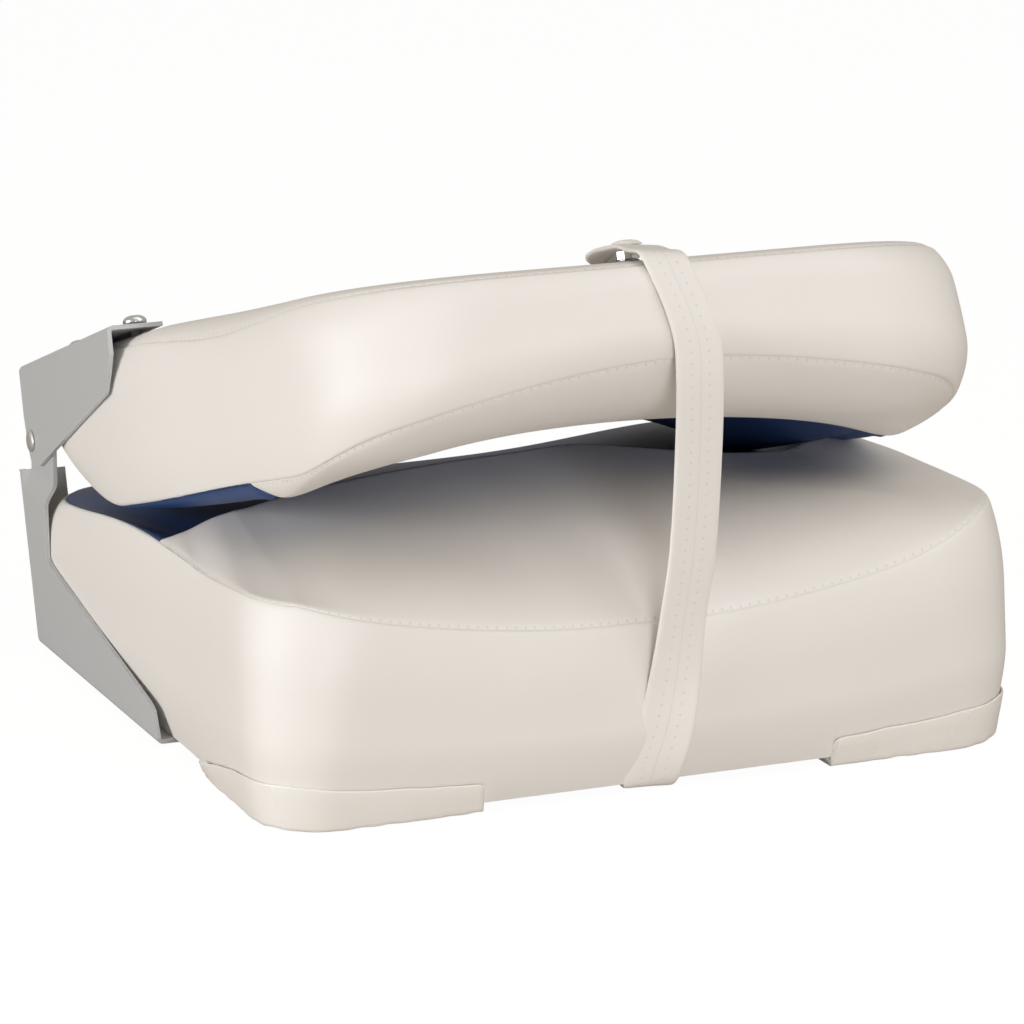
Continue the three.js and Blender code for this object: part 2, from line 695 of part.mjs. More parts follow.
// Corner guards: a foot under the hem and a lip up the cover at each front corner
const guardOuter = loft([
  flat(seatOutline(0, -gap), 0),
  ...sideShares.map((v) => seatSide(v, -gap - guardWall)),
]);
const seatGrown = loft([
  flat(seatOutline(0, -gap), seatUnderside - gap),
  ...[0, ...sideShares].map((v) => seatSide(v, -gap)),
]);
const guardInner = prismZ(seatOutline(0, guardFoot), -overrun, seatTall);
const guardRing = cutBy(guardOuter, [guardInner, seatGrown]);
const guardHeads = (place) => drill(...place, guardScrewHeadRadius + gap, -overrun, seatUnderside / 2 + gap);
const guardScrew = (x, y) => toSolid(
  upsideDown(screw(guardScrewRadius, guardScrewHeadRadius, seatUnderside / 2 - gap * 2, guardScrewLength))
    .translate(x, y, seatUnderside / 2 + gap),
);
const guardShanks = (place) => drill(...place, guardScrewRadius + gap, -overrun, seatTall);
for (const [name, side] of Object.entries(sides)) {
  const across = [
    [guardFrontEnd, -overrun],
    [seatReach, -overrun],
    [seatReach, guardCornerHeight],
    [guardFrontEnd, guardFrontHeight],
  ].map(([x, z]) => [side * x, z]);
  const along = [
    [-seatFront - overrun, -overrun],
    [-guardSideEnd, -overrun],
    [-guardSideEnd, guardSideHeight],
    [-seatFront + seatFrontRadius, guardCornerHeight],
    [-seatFront - overrun, guardCornerHeight],
  ];
  const zone = prismY(side > 0 ? across : across.toReversed(), -seatFront - overrun, 0);
  const guard = guardRing.intersect(zone).intersect(prismX(along, -seatReach, seatReach));
  const places = guardScrewPlaces(side);
  const holes = places.flatMap((place) => [guardHeads(place), guardShanks(place)]);
  add(seat, `corner_guard_${name}`, cutBy(guard, holes), 'guardPlastic');
  places.forEach((place, i) => add(seat, `corner_guard_screw_${name}_${ends[i]}`, guardScrew(...place), 'zinc'));
}

// Lower brackets with their screws, and the pivot rivets with their washers
const pivotHole = toSolid(rod(rivetRadius + gap, -overrun, overrun * 2).rotateY(PI / 2));
const atHinge = (solid) => toSolid(toGeometry(solid).translate(0, hingeY, hingeZ));
const flangeHoles = lowerScrewPlaces.map((y) => drill(lowerScrewInset, y, screwRadius + gap, 0, shellBase));
const washerAt = tongueOffset + sheet + gap;
const clinchAt = washerAt + washerThickness + gap;
const rivet = toSolid(turned([
  [0, -gap - rivetHeadHeight],
  [rivetHeadRadius * 0.5, -gap - rivetHeadHeight],
  [rivetHeadRadius * 0.85, -gap - rivetHeadHeight * 0.6],
  [rivetHeadRadius, -gap],
  [rivetRadius, -gap],
  [rivetRadius, clinchAt],
  [rivetClinchRadius, clinchAt],
  [rivetClinchRadius, clinchAt + rivetClinchHeight * 0.6],
  [rivetClinchRadius * 0.6, clinchAt + rivetClinchHeight],
  [0, clinchAt + rivetClinchHeight],
]).rotateY(PI / 2));
const washer = toSolid(
  tube(rivetRadius + gap, washerRadius, washerAt, washerAt + washerThickness).rotateY(PI / 2),
);
const lowerScrew = (x, y) => toSolid(
  upsideDown(screw(screwRadius, screwHeadRadius, lowerHeadHeight, lowerScrewLength)).translate(x, y, flangeLevel),
);
for (const [name, side] of Object.entries(sides)) {
  const drilled = cutBy(lowerBracket, [atHinge(pivotHole), ...flangeHoles]);
  add(seat, `lower_bracket_${name}`, onSide(drilled, side), 'greyPaint');
  lowerScrewPlaces.forEach((y, i) => {
    add(seat, `lower_bracket_screw_${name}_${ends[i]}`, lowerScrew(side * lowerScrewX, y), 'zinc');
  });
  add(seat, `pivot_rivet_${name}`, onSide(atHinge(rivet), side), 'zinc');
  add(seat, `pivot_washer_${name}`, onSide(atHinge(washer), side), 'zinc');
}

// Upper brackets with their screws and tee nuts
const boardFace = hingeDepth - boardTop - boardThickness;
const teeHead = ([, u]) => boardFace - upperFaceAt(u) - gap - teeFlangeRadius * upperLift;
const teeNut = (at) => onFlange(turned([
  [screwRadius + gap, teeHead(at) - teeFlangeThickness],
  [teeFlangeRadius, teeHead(at) - teeFlangeThickness],
  [teeFlangeRadius, teeHead(at)],
  [teeRadius, teeHead(at)],
  [teeRadius, teeHead(at) + teeLength],
  [screwRadius + gap, teeHead(at) + teeLength],
  [screwRadius + gap, teeHead(at) - teeFlangeThickness],
]), ...at);
for (const [name, side] of Object.entries(sides)) {
  const x = side * upperScrewX;
  const holes = upperScrewPlaces.map(
    (u) => onFlange(rod(screwRadius + gap, -overrun - sheet, overrun), upperScrewInset, u),
  );
  add(back, `upper_bracket_${name}`, onSide(cutBy(upperBracket, [pivotHole, ...holes]), side), 'greyPaint');
  upperScrewPlaces.forEach((u, i) => {
    const fastener = screw(screwRadius, screwHeadRadius, upperHeadHeight, upperScrewLength);
    add(back, `upper_bracket_screw_${name}_${ends[i]}`, onFlange(fastener, x, u), 'zinc');
    add(back, `back_tee_nut_${name}_${ends[i]}`, teeNut([x, u]), 'zinc');
  });
}

// Backrest board with its tee nuts, foam, rear pad and covers
const everyUpperScrew = Object.values(sides).flatMap(
  (side) => upperScrewPlaces.map((u) => [side * upperScrewX, u]),
);
const studPlace = [snapX, -snapAt];
const studHole = (extra, w0, w1) => drill(...studPlace, studShankRadius + extra, hingeDepth - w1, hingeDepth - w0);
const screwHoles = everyUpperScrew.map(
  ([x, u]) => onFlange(rod(screwRadius + gap, -upperScrewLength - gap * 2, overrun), x, u),
);
const teeHoles = everyUpperScrew.map(
  (at) => onFlange(rod(teeRadius + gap, teeHead(at) - overrun, teeHead(at) + gap * 2 + teeLength), ...at),
);
const teePockets = everyUpperScrew.map((at) => onFlange(
  rod(teeFlangeRadius + gap, min(teeHead(at) - teeFlangeThickness, -upperScrewLength) - gap * 2, teeHead(at) + overrun),
  ...at,
));
const boardOutline = backOutline(0, panelInset + gap).map(([x, u]) => [x, -u]).toReversed();
const board = prismZ(boardOutline, boardFace, boardFace + boardThickness);
add(back, 'back_board', cutBy(board, [...screwHoles, ...teeHoles, studHole(gap, 0, studShankDepth + gap)]), 'plywood');
const backFoamSides = backShares.filter((v) => v > backFoamShare && v < 1);
const backFoam = backLoft([
  flat(backOutline(backFoamShare, foamInset), boardTop + boardThickness + gap),
  ...backFoamSides.map((v) => backSide(v, foamInset)),
  backTop(1, foamInset, panelInset),
  ...topShares.slice(1).map((k) => backTop(k, panelInset, panelInset)),
]);
add(back, 'back_foam', cutBy(backFoam, teePockets), 'foam');
const rearPad = backLoft([
  ...rearShares.map((k) => backBehind(k, foamInset + gap, panelInset)),
  flat(backOutline(0, foamInset + gap), boardTop - gap),
]);
add(back, 'back_rear_pad', cutBy(rearPad, [...screwHoles, studHole(gap, 0, boardTop)]), 'foam');
add(back, 'back_cover_boxing', backLoft([
  backSide(0, 0),
  ...backShares.map((v) => backSide(v, 0)),
  ...backShares.toReversed().map((v) => backSide(v, vinyl)),
  backSide(0, vinyl),
], true), 'whiteVinyl');
const rearPanel = backLoft([
  ...rearShares.map((k) => backBehind(k, panelInset, 0)),
  ...rearShares.toReversed().map((k) => backBehind(k, panelInset, vinyl)),
]);
add(back, 'back_rear_panel', cutBy(rearPanel, [...screwHoles, studHole(gap, -overrun, boardTop)]), 'whiteVinyl');
const backPanel = backLoft([
  ...topShares.toReversed().map((k) => backTop(k, panelInset, vinyl)),
  ...topShares.map((k) => backTop(k, panelInset, 0)),
]);
const backReach = backEnd + overrun;
const nearHinge = block(gap / 2 - backBorder, 0, -backReach, backReach);
const farEnd = block(-backReach, -backBorder - gap / 2, -backReach, backReach);
add(back, 'back_cover_lumbar', backPanel.intersect(nearHinge), 'blueVinyl');
add(back, 'back_cover_roll', backPanel.intersect(farEnd), 'whiteVinyl');

// Strap: a ribbon along stations (x, y, z), its thickness square to its run. It is screwed under the seat,
// rises past both cushions and turns over the far end of the backrest to the snap fastener.
const strapClear = gap + strapThickness / 2;
const strapUnder = seatUnderside - strapClear;
const studTop = gap + studBase;
const socketBase = studTop + gap;
const socketTop = socketBase + socketHeight;
const strapBase = socketTop + gap;
const strapLevel = -strapBase - strapThickness / 2;
const overBack = (u, w) => [
  hingeY - u * cos(foldedSlope) - (w - hingeDepth) * sin(foldedSlope),
  hingeZ + u * sin(foldedSlope) - (w - hingeDepth) * cos(foldedSlope),
];
const riseShares = [
  [-0.36, -2.9, 0.05],
  [-0.2, -0.9, 0.14],
  [0.3, 0.8, 0.3],
  [0.75, 1.3, 0.5],
  [1.15, 2.87, 0.81],
  [1.45, 5.53, 1.1],
  [1.45, 9.5, 1.585],
];
const endShares = [
  [1.25, -2.8, 1.2],
  [1.1, 0.3, 0.84],
  [0.7, 1, 0.54],
  [0.2, 0, 0.24],
  [-0.15, -3.2, -0.01],
];
const tailShares = [
  [-0.15, 0.42, 0.53],
  [-0.2, 0.68, 0.97],
  [-0.2, 0.85, 1],
  [-0.2, 1.4, 1],
  [-0.2, 1.7, 0.95],
  [-0.2, 2, 0.8],
];
const tailU = (share) => (share < 1 ? mix(backEnd, snapAt, share) : mix(snapAt, tailAt, share - 1));
const stations = [
  [-0.36, hemFront + anchorSetback, strapUnder],
  [-0.36, hemFront + foldSetback, strapUnder],
  [-0.36, hemFront - gap, strapUnder],
  ...riseShares.map(([x, out, high]) => [x, -seatFront - out * strapClear, high * seatSeamHeight]),
  ...endShares.map(([x, out, deep]) => [x, ...overBack(backEnd + out * strapClear, deep * backEndSeam)]),
  ...tailShares.map(([x, along, level]) => [x, ...overBack(tailU(along), level * strapLevel)]),
].map(([x, y, z]) => new THREE.Vector3(strapX + x * strapDrift, y, z));
const strapPath = new THREE.CatmullRomCurve3(stations);
const spanSteps = 4;
const runStart = spanSteps;
const runEnd = (stations.length - 1 - tailShares.length) * spanSteps;
const strapEnd = (stations.length - 1) * spanSteps;
const strapAt = (i) => strapPath.getPoint(i / strapEnd);
const ribbon = (from, to) => {
  const trimmed = (i) => (i > from ? i : i + (from > 0 ? gap / strapAt(i).distanceTo(strapAt(i + 1)) : 0));
  const rings = [];
  for (let i = from; i <= to; i += 1) {
    const t = trimmed(i);
    const here = strapAt(t);
    const run = strapAt(min(t + 0.5, strapEnd)).sub(strapAt(max(t - 0.5, 0)));
    const length = hypot(run.y, run.z);
    const [ny, nz] = [run.z, -run.y].map((part) => (part / length) * (strapThickness / 2));
    rings.push([[-1, -1], [1, -1], [1, 1], [-1, 1]].map(
      ([a, b]) => [here.x + (a * strapWidth) / 2, here.y + b * ny, here.z + b * nz],
    ));
  }
  return loft(rings);
};
const strap = new THREE.Group();
model.add(strap);
const anchorHole = drill(...anchorPlace, screwRadius + gap, 0, seatUnderside);
add(seat, 'strap_anchor_end', ribbon(0, runStart).subtract(anchorHole), 'whiteVinyl');
add(seat, 'strap_anchor_screw', toSolid(
  upsideDown(screw(screwRadius, screwHeadRadius, anchorHeadHeight, anchorScrewLength))
    .translate(...anchorPlace, strapUnder - strapThickness / 2),
), 'zinc');
add(strap, 'strap_run', ribbon(runStart, runEnd), 'whiteVinyl');

// Snap fastener, heights above the rear face of the backrest
const onRear = (profile) => turned(profile).translate(...studPlace, hingeDepth);
const inModel = (geometry) => toSolid(geometry.rotateX(-foldedSlope).translate(0, hingeY, hingeZ));
const boreTop = mix(socketBase, socketTop, 0.65);
add(back, 'snap_stud', toSolid(onRear([
  [0, -studShankDepth],
  [studShankRadius, -studShankDepth],
  [studShankRadius, gap],
  [studRadius, gap],
  [studRadius * 0.8, studTop],
  [socketBore - gap, studTop],
  [socketBore - gap, boreTop - gap],
  [0, boreTop - gap],
])), 'zinc');
add(strap, 'snap_socket', inModel(onRear([
  [0, boreTop],
  [socketBore, boreTop],
  [socketBore, socketBase],
  [socketRadius, socketBase],
  [socketRadius, socketTop],
  [0, socketTop],
])), 'zinc');
const capBase = strapBase + strapThickness + gap;
add(strap, 'snap_cap', inModel(onRear([
  [0, strapBase],
  [postRadius, strapBase],
  [postRadius, capBase],
  [capRadius, capBase],
  [capRadius, capBase + capHeight * 0.25],
  [capRadius * 0.75, capBase + capHeight * 0.75],
  [capRadius * 0.4, capBase + capHeight],
  [0, capBase + capHeight],
])), 'zinc');
const postHole = inModel(onRear([
  [0, socketTop],
  [postRadius + gap, socketTop],
  [postRadius + gap, capBase + capHeight],
  [0, capBase + capHeight],
]));
add(strap, 'strap_free_end', ribbon(runEnd, strapEnd).subtract(postHole), 'whiteVinyl');

export default model;
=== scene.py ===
"""A folding boat seat, folded shut and strapped: two vinyl-covered foam cushions on steel brackets."""
import json
import math

import bmesh
import bpy
import numpy as np
from bpy.props import FloatProperty, FloatVectorProperty, PointerProperty
from bpy.types import Operator, Panel, PropertyGroup
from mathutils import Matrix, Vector


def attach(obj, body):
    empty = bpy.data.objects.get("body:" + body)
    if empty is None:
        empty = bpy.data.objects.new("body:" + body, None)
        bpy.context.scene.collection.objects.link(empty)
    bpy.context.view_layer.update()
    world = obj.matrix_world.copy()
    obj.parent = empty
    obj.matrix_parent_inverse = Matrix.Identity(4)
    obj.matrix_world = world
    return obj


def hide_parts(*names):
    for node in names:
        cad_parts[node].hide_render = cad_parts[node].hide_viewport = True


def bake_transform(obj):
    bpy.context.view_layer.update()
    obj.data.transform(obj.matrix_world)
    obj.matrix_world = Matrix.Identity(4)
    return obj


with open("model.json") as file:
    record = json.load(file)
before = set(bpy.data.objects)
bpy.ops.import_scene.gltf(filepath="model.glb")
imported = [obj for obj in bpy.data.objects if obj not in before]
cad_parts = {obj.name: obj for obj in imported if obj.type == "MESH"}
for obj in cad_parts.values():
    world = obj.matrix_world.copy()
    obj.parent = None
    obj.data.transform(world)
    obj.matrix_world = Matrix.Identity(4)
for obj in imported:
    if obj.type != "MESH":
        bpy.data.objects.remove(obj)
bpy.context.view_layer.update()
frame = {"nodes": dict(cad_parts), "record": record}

bl_info = {
    "name": "Folding boat seat",
    "version": (1, 0, 0),
    "blender": (4, 5, 0),
    "location": "3D View > Sidebar > Boat seat",
    "description": "Dresses the folded boat seat: cushions, strap, brackets, guards, fasteners and the stage",
    "category": "Add Mesh",
}

mm = 0.001


def linear(code, alpha=1.0):
    """An sRGB hex value as linear red, green, blue and alpha."""
    parts = np.array([(code >> shift) & 255 for shift in (16, 8, 0)]) / 255
    values = np.where(parts <= 0.04045, parts / 12.92, ((parts + 0.055) / 1.055) ** 2.4)
    return (*values.tolist(), alpha)


def length(name, description, default):
    """A length property in metres, from a default in millimetres."""
    return FloatProperty(name=name, description=description, default=default * mm, min=0.0, unit="LENGTH")


def colour(name, description, code):
    """A colour property from an sRGB hex value."""
    return FloatVectorProperty(
        name=name, description=description, default=linear(code), size=4, min=0.0, max=1.0, subtype="COLOR"
    )


class SeatCushionSizes(PropertyGroup):
    """The seat cushion: a boxed band, a white front pillow and a blue rear pan."""

    front: length("Front", "From the middle of the plan to the front face", 186)
    rear: length("Rear", "From the middle of the plan to the rear face", 191)
    half_width: length("Half width", "Half the width between the brackets", 203.3)
    flare: length("Flare", "How much wider each side is at the front", 2.4)
    underside: length("Underside", "Height of the hem above the floor", 4.8)
    seam_height: length("Seam height", "Height of the top seam at the front corners", 111)
    seam_tuck: length("Seam tuck", "How far the band draws in at the top seam", 5.2)
    bottom_tuck: length("Bottom tuck", "How far the band draws in at the hem", 6.5)
    crest: length("Crest", "Height of the front pillow's crest", 136)
    border: length("Border", "Where the white and blue panels meet, ahead of the middle", 4)
    hem: length("Hem", "Width of the cover folded under the shell", 28)
    cover: length("Cover", "Thickness of the vinyl", 1.2)


class BackCushionSizes(PropertyGroup):
    """The backrest cushion, in its own plane: u from the hinge, w from the rear face."""

    start: length("Start", "From the hinge axis to the near end", 11)
    end: length("End", "From the hinge axis to the far end", 403)
    half_width: length("Half width", "Half the width at the brackets", 203)
    far_half_width: length("Far half width", "Half the width at the far end", 176)
    border: length("Border", "From the hinge axis to the border of blue and white", 273)
    depth: length("Hinge depth", "From the rear face to the hinge axis", 48.2)


class StrapSizes(PropertyGroup):
    """The vinyl strap, folded from one strip so that its edges meet along the middle."""

    width: length("Width", "Width of the strap", 25)
    thickness: length("Thickness", "Thickness of the folded strap", 2.4)
    stitch_pitch: length("Stitch pitch", "From one stitch hole to the next", 5.6)
    stitch_row: length("Stitch row", "From the middle join to each row of stitches", 4.6)


class Finishes(PropertyGroup):
    """Colours of the seat's materials."""

    white_vinyl: colour("White vinyl", "Off-white marine vinyl", 0xECE9E5)
    blue_vinyl: colour("Blue vinyl", "Navy marine vinyl", 0x2B4677)
    paint: colour("Bracket paint", "Grey powder coat", 0xBCBEC0)
    guard: colour("Guard", "Milky polyethylene", 0xF8F5F0)
    zinc: colour("Zinc", "Bright zinc plate", 0xD2D2D0)
    shell: colour("Shell", "Black moulded plastic", 0x2A2B2D)


def mix(a, b, t):
    """From a to b as t goes from 0 to 1."""
    return a + (b - a) * t


def smooth(t, start, end):
    """From 0 to 1 between start and end, with level ends."""
    s = np.clip((t - start) / (end - start), 0, 1)
    return s * s * (3 - 2 * s)


def bell(t, middle, spread):
    """1 at the middle, falling away on both sides."""
    return np.exp(-(((t - middle) / spread) ** 2))


def eased(count):
    """Numbers from 0 to 1, closer together at both ends."""
    return (1 - np.cos(np.linspace(0, np.pi, count))) / 2


WELD = 0.02 * mm
EDGE_ROUNDING = 0.45 * mm


def grid_faces(rows, columns, wrap=False, first=0):
    """Corners of a grid's faces, which look along rows crossed with columns; wrap joins its two ends."""
    index = first + np.arange(rows * columns).reshape(rows, columns)
    near, far = (index, np.roll(index, -1, axis=1)) if wrap else (index[:, :-1], index[:, 1:])
    return np.stack([near[:-1], far[:-1], far[1:], near[1:]], axis=-1).reshape(-1, 4)


def linked_piece(name, points, faces, uv=None, weld=False, face_out=False):
    """An object with a smooth mesh. Each point may have a uv pair, and weld merges points that coincide."""
    mesh = bpy.data.meshes.new(name)
    mesh.from_pydata(points.tolist(), [], faces.tolist())
    if uv is not None:
        layer = mesh.uv_layers.new(name="seam")
        vertex = np.zeros(len(mesh.loops), np.int32)
        mesh.loops.foreach_get("vertex_index", vertex)
        layer.data.foreach_set("uv", uv.reshape(-1, 2)[vertex].astype(np.float32).ravel())
    mesh.polygons.foreach_set("use_smooth", np.ones(len(mesh.polygons), bool))
    if weld:
        made = bmesh.new()
        made.from_mesh(mesh)
        bmesh.ops.remove_doubles(made, verts=made.verts, dist=WELD)
        if face_out:
            bmesh.ops.recalc_face_normals(made, faces=made.faces)
        made.to_mesh(mesh)
        made.free()
    mesh.update()
    piece = bpy.data.objects.new(name, mesh)
    bpy.context.scene.collection.objects.link(piece)
    return piece


def surface(name, points, wrap_columns=False, uv=None, weld=False):
    """A piece over a grid of points (rows, columns, 3)."""
    faces = grid_faces(*points.shape[:2], wrap_columns)
    return linked_piece(name, points.reshape(-1, 3), faces, uv, weld)


def sheet_metal(name, grids, thickness):
    """One sheet over grids that share edges: welded, given its thickness and slightly rounded edges."""
    firsts = np.cumsum([0] + [grid.shape[0] * grid.shape[1] for grid in grids])
    faces = [grid_faces(*grid.shape[:2], first=first) for grid, first in zip(grids, firsts)]
    points = [grid.reshape(-1, 3) for grid in grids]
    piece = linked_piece(name, np.concatenate(points), np.concatenate(faces), weld=True, face_out=True)
    wall = piece.modifiers.new("thickness", "SOLIDIFY")
    wall.thickness = thickness
    wall.offset = 0
    wall.use_even_offset = True
    edge = piece.modifiers.new("edges", "BEVEL")
    edge.width = EDGE_ROUNDING
    edge.segments = 3
    edge.limit_method = "ANGLE"
    edge.angle_limit = math.radians(60)
    edge.harden_normals = True
    return piece


def thicken(piece, thickness):
    """Gives an open surface a wall behind its faces."""
    wall = piece.modifiers.new("wall", "SOLIDIFY")
    wall.thickness = thickness
    wall.offset = -1
    return piece


def finish_with(piece, material, slot, body, *nodes):
    """Material, body and the CAD nodes that a piece stands for; the record slot is not used."""
    piece.data.materials.append(material)
    if body:
        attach(piece, body)
    if nodes:
        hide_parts(*nodes)
    return piece


CROSS_HALF_WIDTH = 0.7 * mm
CROSS_REACH = 3 * mm
CROSS_FLAT = 1 * mm
CROSS_ABOVE = 0.9 * mm


def round_profile(name, profile, place, axis, recess=0.0, steps=96):
    """A turned piece: a (radius, height) profile carried round an axis that starts at a place.

    A recess sinks a cross into the upper end: two bars, each a bell across and sloping at its ends.
    """
    radius, height = np.array(profile, float).T
    angle = np.linspace(0, 2 * np.pi, steps, endpoint=False)
    x, y = radius[:, None] * np.cos(angle), radius[:, None] * np.sin(angle)
    bars = np.maximum(
        bell(x, 0, CROSS_HALF_WIDTH) * smooth(-np.abs(y), -CROSS_REACH, -CROSS_FLAT),
        bell(y, 0, CROSS_HALF_WIDTH) * smooth(-np.abs(x), -CROSS_REACH, -CROSS_FLAT),
    )
    height = height[:, None]
    turned = np.stack([x, y, height - recess * bars * (height > CROSS_ABOVE)], axis=-1)
    basis = np.array(Vector((0, 0, 1)).rotation_difference(Vector(axis)).to_matrix())
    return surface(name, turned @ basis.T + np.array(place), wrap_columns=True, weld=True)


# Plan outlines


def rounded_outline(y0, y1, half0, half1, radius0, radius1, taper, spread):
    """Points round a rounded rectangle, counter-clockwise from the left border of the front edge.

    Straight front and rear edges, quarter circles at the corners, and sides whose half width follows a taper;
    the whole line is then relaxed over a spread of points.
    Every argument may be a column of values, one for each row of the result.
    """
    parts = []
    edge = np.linspace(-1, 1, 120, endpoint=False)
    quarter = np.linspace(0, np.pi / 2, 30, endpoint=False)
    along = np.linspace(0, 1, 110, endpoint=False)

    def side(t):
        return mix(half0, half1, taper(t)), mix(y0 + radius0, y1 - radius1, t)

    def corner(x, y, r, start):
        return x + r * np.cos(start + quarter), y + r * np.sin(start + quarter)

    parts.append((edge * (half0 - radius0), y0 + 0 * edge))
    parts.append(corner(half0 - radius0, y0 + radius0, radius0, -np.pi / 2))
    parts.append(side(along))
    parts.append(corner(half1 - radius1, y1 - radius1, radius1, 0))
    parts.append((-edge * (half1 - radius1), y1 + 0 * edge))
    parts.append(corner(radius1 - half1, y1 - radius1, radius1, np.pi / 2))
    x, y = side(1 - along)
    parts.append((-x, y))
    parts.append(corner(radius0 - half0, y0 + radius0, radius0, np.pi))
    rows = np.broadcast(y0, y1, half0, half1, radius0, radius1).shape[0]
    x = np.concatenate([np.broadcast_to(p[0], (rows, p[0].shape[-1])) for p in parts], axis=1)
    y = np.concatenate([np.broadcast_to(p[1], (rows, p[1].shape[-1])) for p in parts], axis=1)
    return relaxed(x, spread), relaxed(y, spread)


def relaxed(line, spread):
    """A closed line of values smoothed over a number of its points, so that its bends ease in and out."""
    wave = np.fft.rfft(line, axis=-1)
    gain = np.exp(-0.5 * (2 * np.pi * np.arange(wave.shape[-1]) * spread / line.shape[-1]) ** 2)
    return np.fft.irfft(wave * gain, line.shape[-1], axis=-1)


def rim_distance(x, y, rim_x, rim_y):
    """Distance from each grid point to the nearest of a rim's points, taken four times as close together."""
    fine = np.linspace(0, len(rim_x) - 1, 4 * len(rim_x) - 3)
    line = np.arange(len(rim_x))
    rim_x, rim_y = np.interp(fine, line, rim_x), np.interp(fine, line, rim_y)
    return np.array([np.hypot(a[:, None] - rim_x, b[:, None] - rim_y).min(axis=1) for a, b in zip(x, y)])


def running_length(x, y):
    """Length along a line of points."""
    return np.concatenate([[0], np.cumsum(np.hypot(np.diff(x), np.diff(y)))])


def panel_grid(x, y, border, beyond, corner, least=0.0):
    """A panel between a rim and a straight border at one y, as columns from the rim to the border.

    Each column starts at a point of the rim. Along the sides its foot slides in on the border, from the side
    to the end of the corner, or over at least a share of the rim; between the corners it runs straight.
    Gives the order of the rim's points, the grid, its distance from the rim and the length along the rim.
    """
    keep = np.flatnonzero(y > border if beyond else y < border)
    start = keep[np.argmax(np.diff(np.concatenate([[keep[-1] - len(x)], keep])) > 1)]
    order = (start + np.arange(len(keep))) % len(x)
    order = np.concatenate([order[:1], order, order[-1:]])
    rim_x, rim_y = x[order], y[order]
    rim_y[[0, -1]] = border
    half = abs(rim_x[0])
    flat = half - 0.9 * corner
    run = running_length(rim_x, rim_y)
    beside = np.minimum(run, run[-1] - run)
    turn = max(beside[np.argmin(np.abs(np.abs(rim_x) - flat))], least * run[-1])
    slide = np.sign(rim_x) * mix(half, flat, beside / turn)
    foot = np.where(beside < turn, slide, np.clip(rim_x, -flat, flat))
    t = eased(110)[:, None]
    grid_x, grid_y = mix(rim_x, foot, t), mix(rim_y, border, t)
    return order, grid_x, grid_y, rim_distance(grid_x, grid_y, rim_x, rim_y), run


def rounded_end(distance, reach):
    """From 0 at a border to 1 at a reach from it, along the quarter of a fat circle."""
    return np.sqrt(1 - (1 - np.clip(distance / reach, 0, 1)) ** 2.4)


PINCH = 1.1 * mm
PINCH_REACH = 0.9 * mm
PINCH_RATE = 90


def crowned(seam, face, edge, reach):
    """From the seam up to the face over a reach, with the sharp pinch that the stitching pulls in."""
    return mix(seam, face, 1 - np.exp(-edge / reach)) - PINCH * np.exp(-edge / PINCH_REACH)


# Seat cushion surface

# A pair is where a change starts and ends. A lump or valley is its height or depth, middle and spread.
SEAT_FRONT_RADIUS = 33 * mm
SEAT_SEAM_RADIUS_GAIN = 17 * mm
SEAT_REAR_RADIUS = 18 * mm
SEAT_REAR_RADIUS_GAIN = 24 * mm
SEAT_REAR_TUCK = 13 * mm
SEAT_RIDGE = 160 * mm
SEAT_CROWN_REACH = 20 * mm
SEAT_RIGHT_LIFT = 4 * mm
SEAT_CORNER_LIFT = 9.5 * mm
SEAT_CORNER_ACROSS = (120 * mm, 210 * mm)
SEAT_CORNER_BACK = (-60 * mm, 70 * mm)
SEAT_LEFT_DROP = 5.5 * mm
SEAT_LEFT_ACROSS = (100 * mm, 190 * mm)
SEAT_LEFT_START = (-145 * mm, -60 * mm)
SEAT_LEFT_END = (-60 * mm, 100 * mm)
SEAT_FRONT_DIP = 27 * mm
SEAT_REAR_DIP = 6 * mm
SEAT_REAR_FALL = 22.5 * mm
SEAT_SIDE_FALL = 2 * mm
PAN_BELOW_CREST = 33 * mm
PAN_REAR_FALL = 17 * mm
PAN_SIDE_BELOW_CREST = 31 * mm
PAN_SIDE_REAR_FALL = 8 * mm
PAN_LEFT_FALL = 4 * mm
PAN_LEFT_FROM = 60 * mm
PAN_LEFT_BACK = (60 * mm, 150 * mm)
PILLOW_CROWN = 15.5 * mm
PILLOW_MIDDLE_FALL = 28 * mm
PILLOW_SIDE_FALL = 4 * mm
PILLOW_LUMPS = [(2 * mm, 24 * mm, 24 * mm), (-4.5 * mm, 108 * mm, 46 * mm), (12 * mm, 188 * mm, 28 * mm)]
PILLOW_LUMPS_END = (15 * mm, 120 * mm)
PILLOW_VALLEY = (3 * mm, -8 * mm, 34 * mm)
FRONT_VALLEY = (3.2 * mm, -9 * mm, 26 * mm)
CREASE_DEPTH = 1.5 * mm
PILLOW_END_REACH = 15 * mm
PAN_END_REACH = 4 * mm


def seat_taper(share):
    """The flare of the front runs out over the front third of the sides."""
    return smooth(share, 0, 0.38)


def seat_outline(sizes, v, inset=0.0):
    """Plan outline of the band at height share v: full in the middle, drawn in at hem and seam."""
    v = np.atleast_1d(v)[:, None]
    top = np.clip((v - 0.62) / 0.38, 0, 1) ** 2.2
    foot = np.clip(1 - v / 0.36, 0, 1) ** 1.5
    tuck = sizes.seam_tuck * top + sizes.bottom_tuck * foot + inset
    rear = sizes.rear - SEAT_REAR_TUCK * (1 - v) - sizes.seam_tuck * top * 0.3 - inset
    radius0 = SEAT_FRONT_RADIUS + SEAT_SEAM_RADIUS_GAIN * v - inset
    radius1 = SEAT_REAR_RADIUS + SEAT_REAR_RADIUS_GAIN * top - inset
    half = sizes.half_width - tuck
    return rounded_outline(
        tuck - sizes.front, rear, half + sizes.flare, half, radius0, radius1, seat_taper, 3
    )


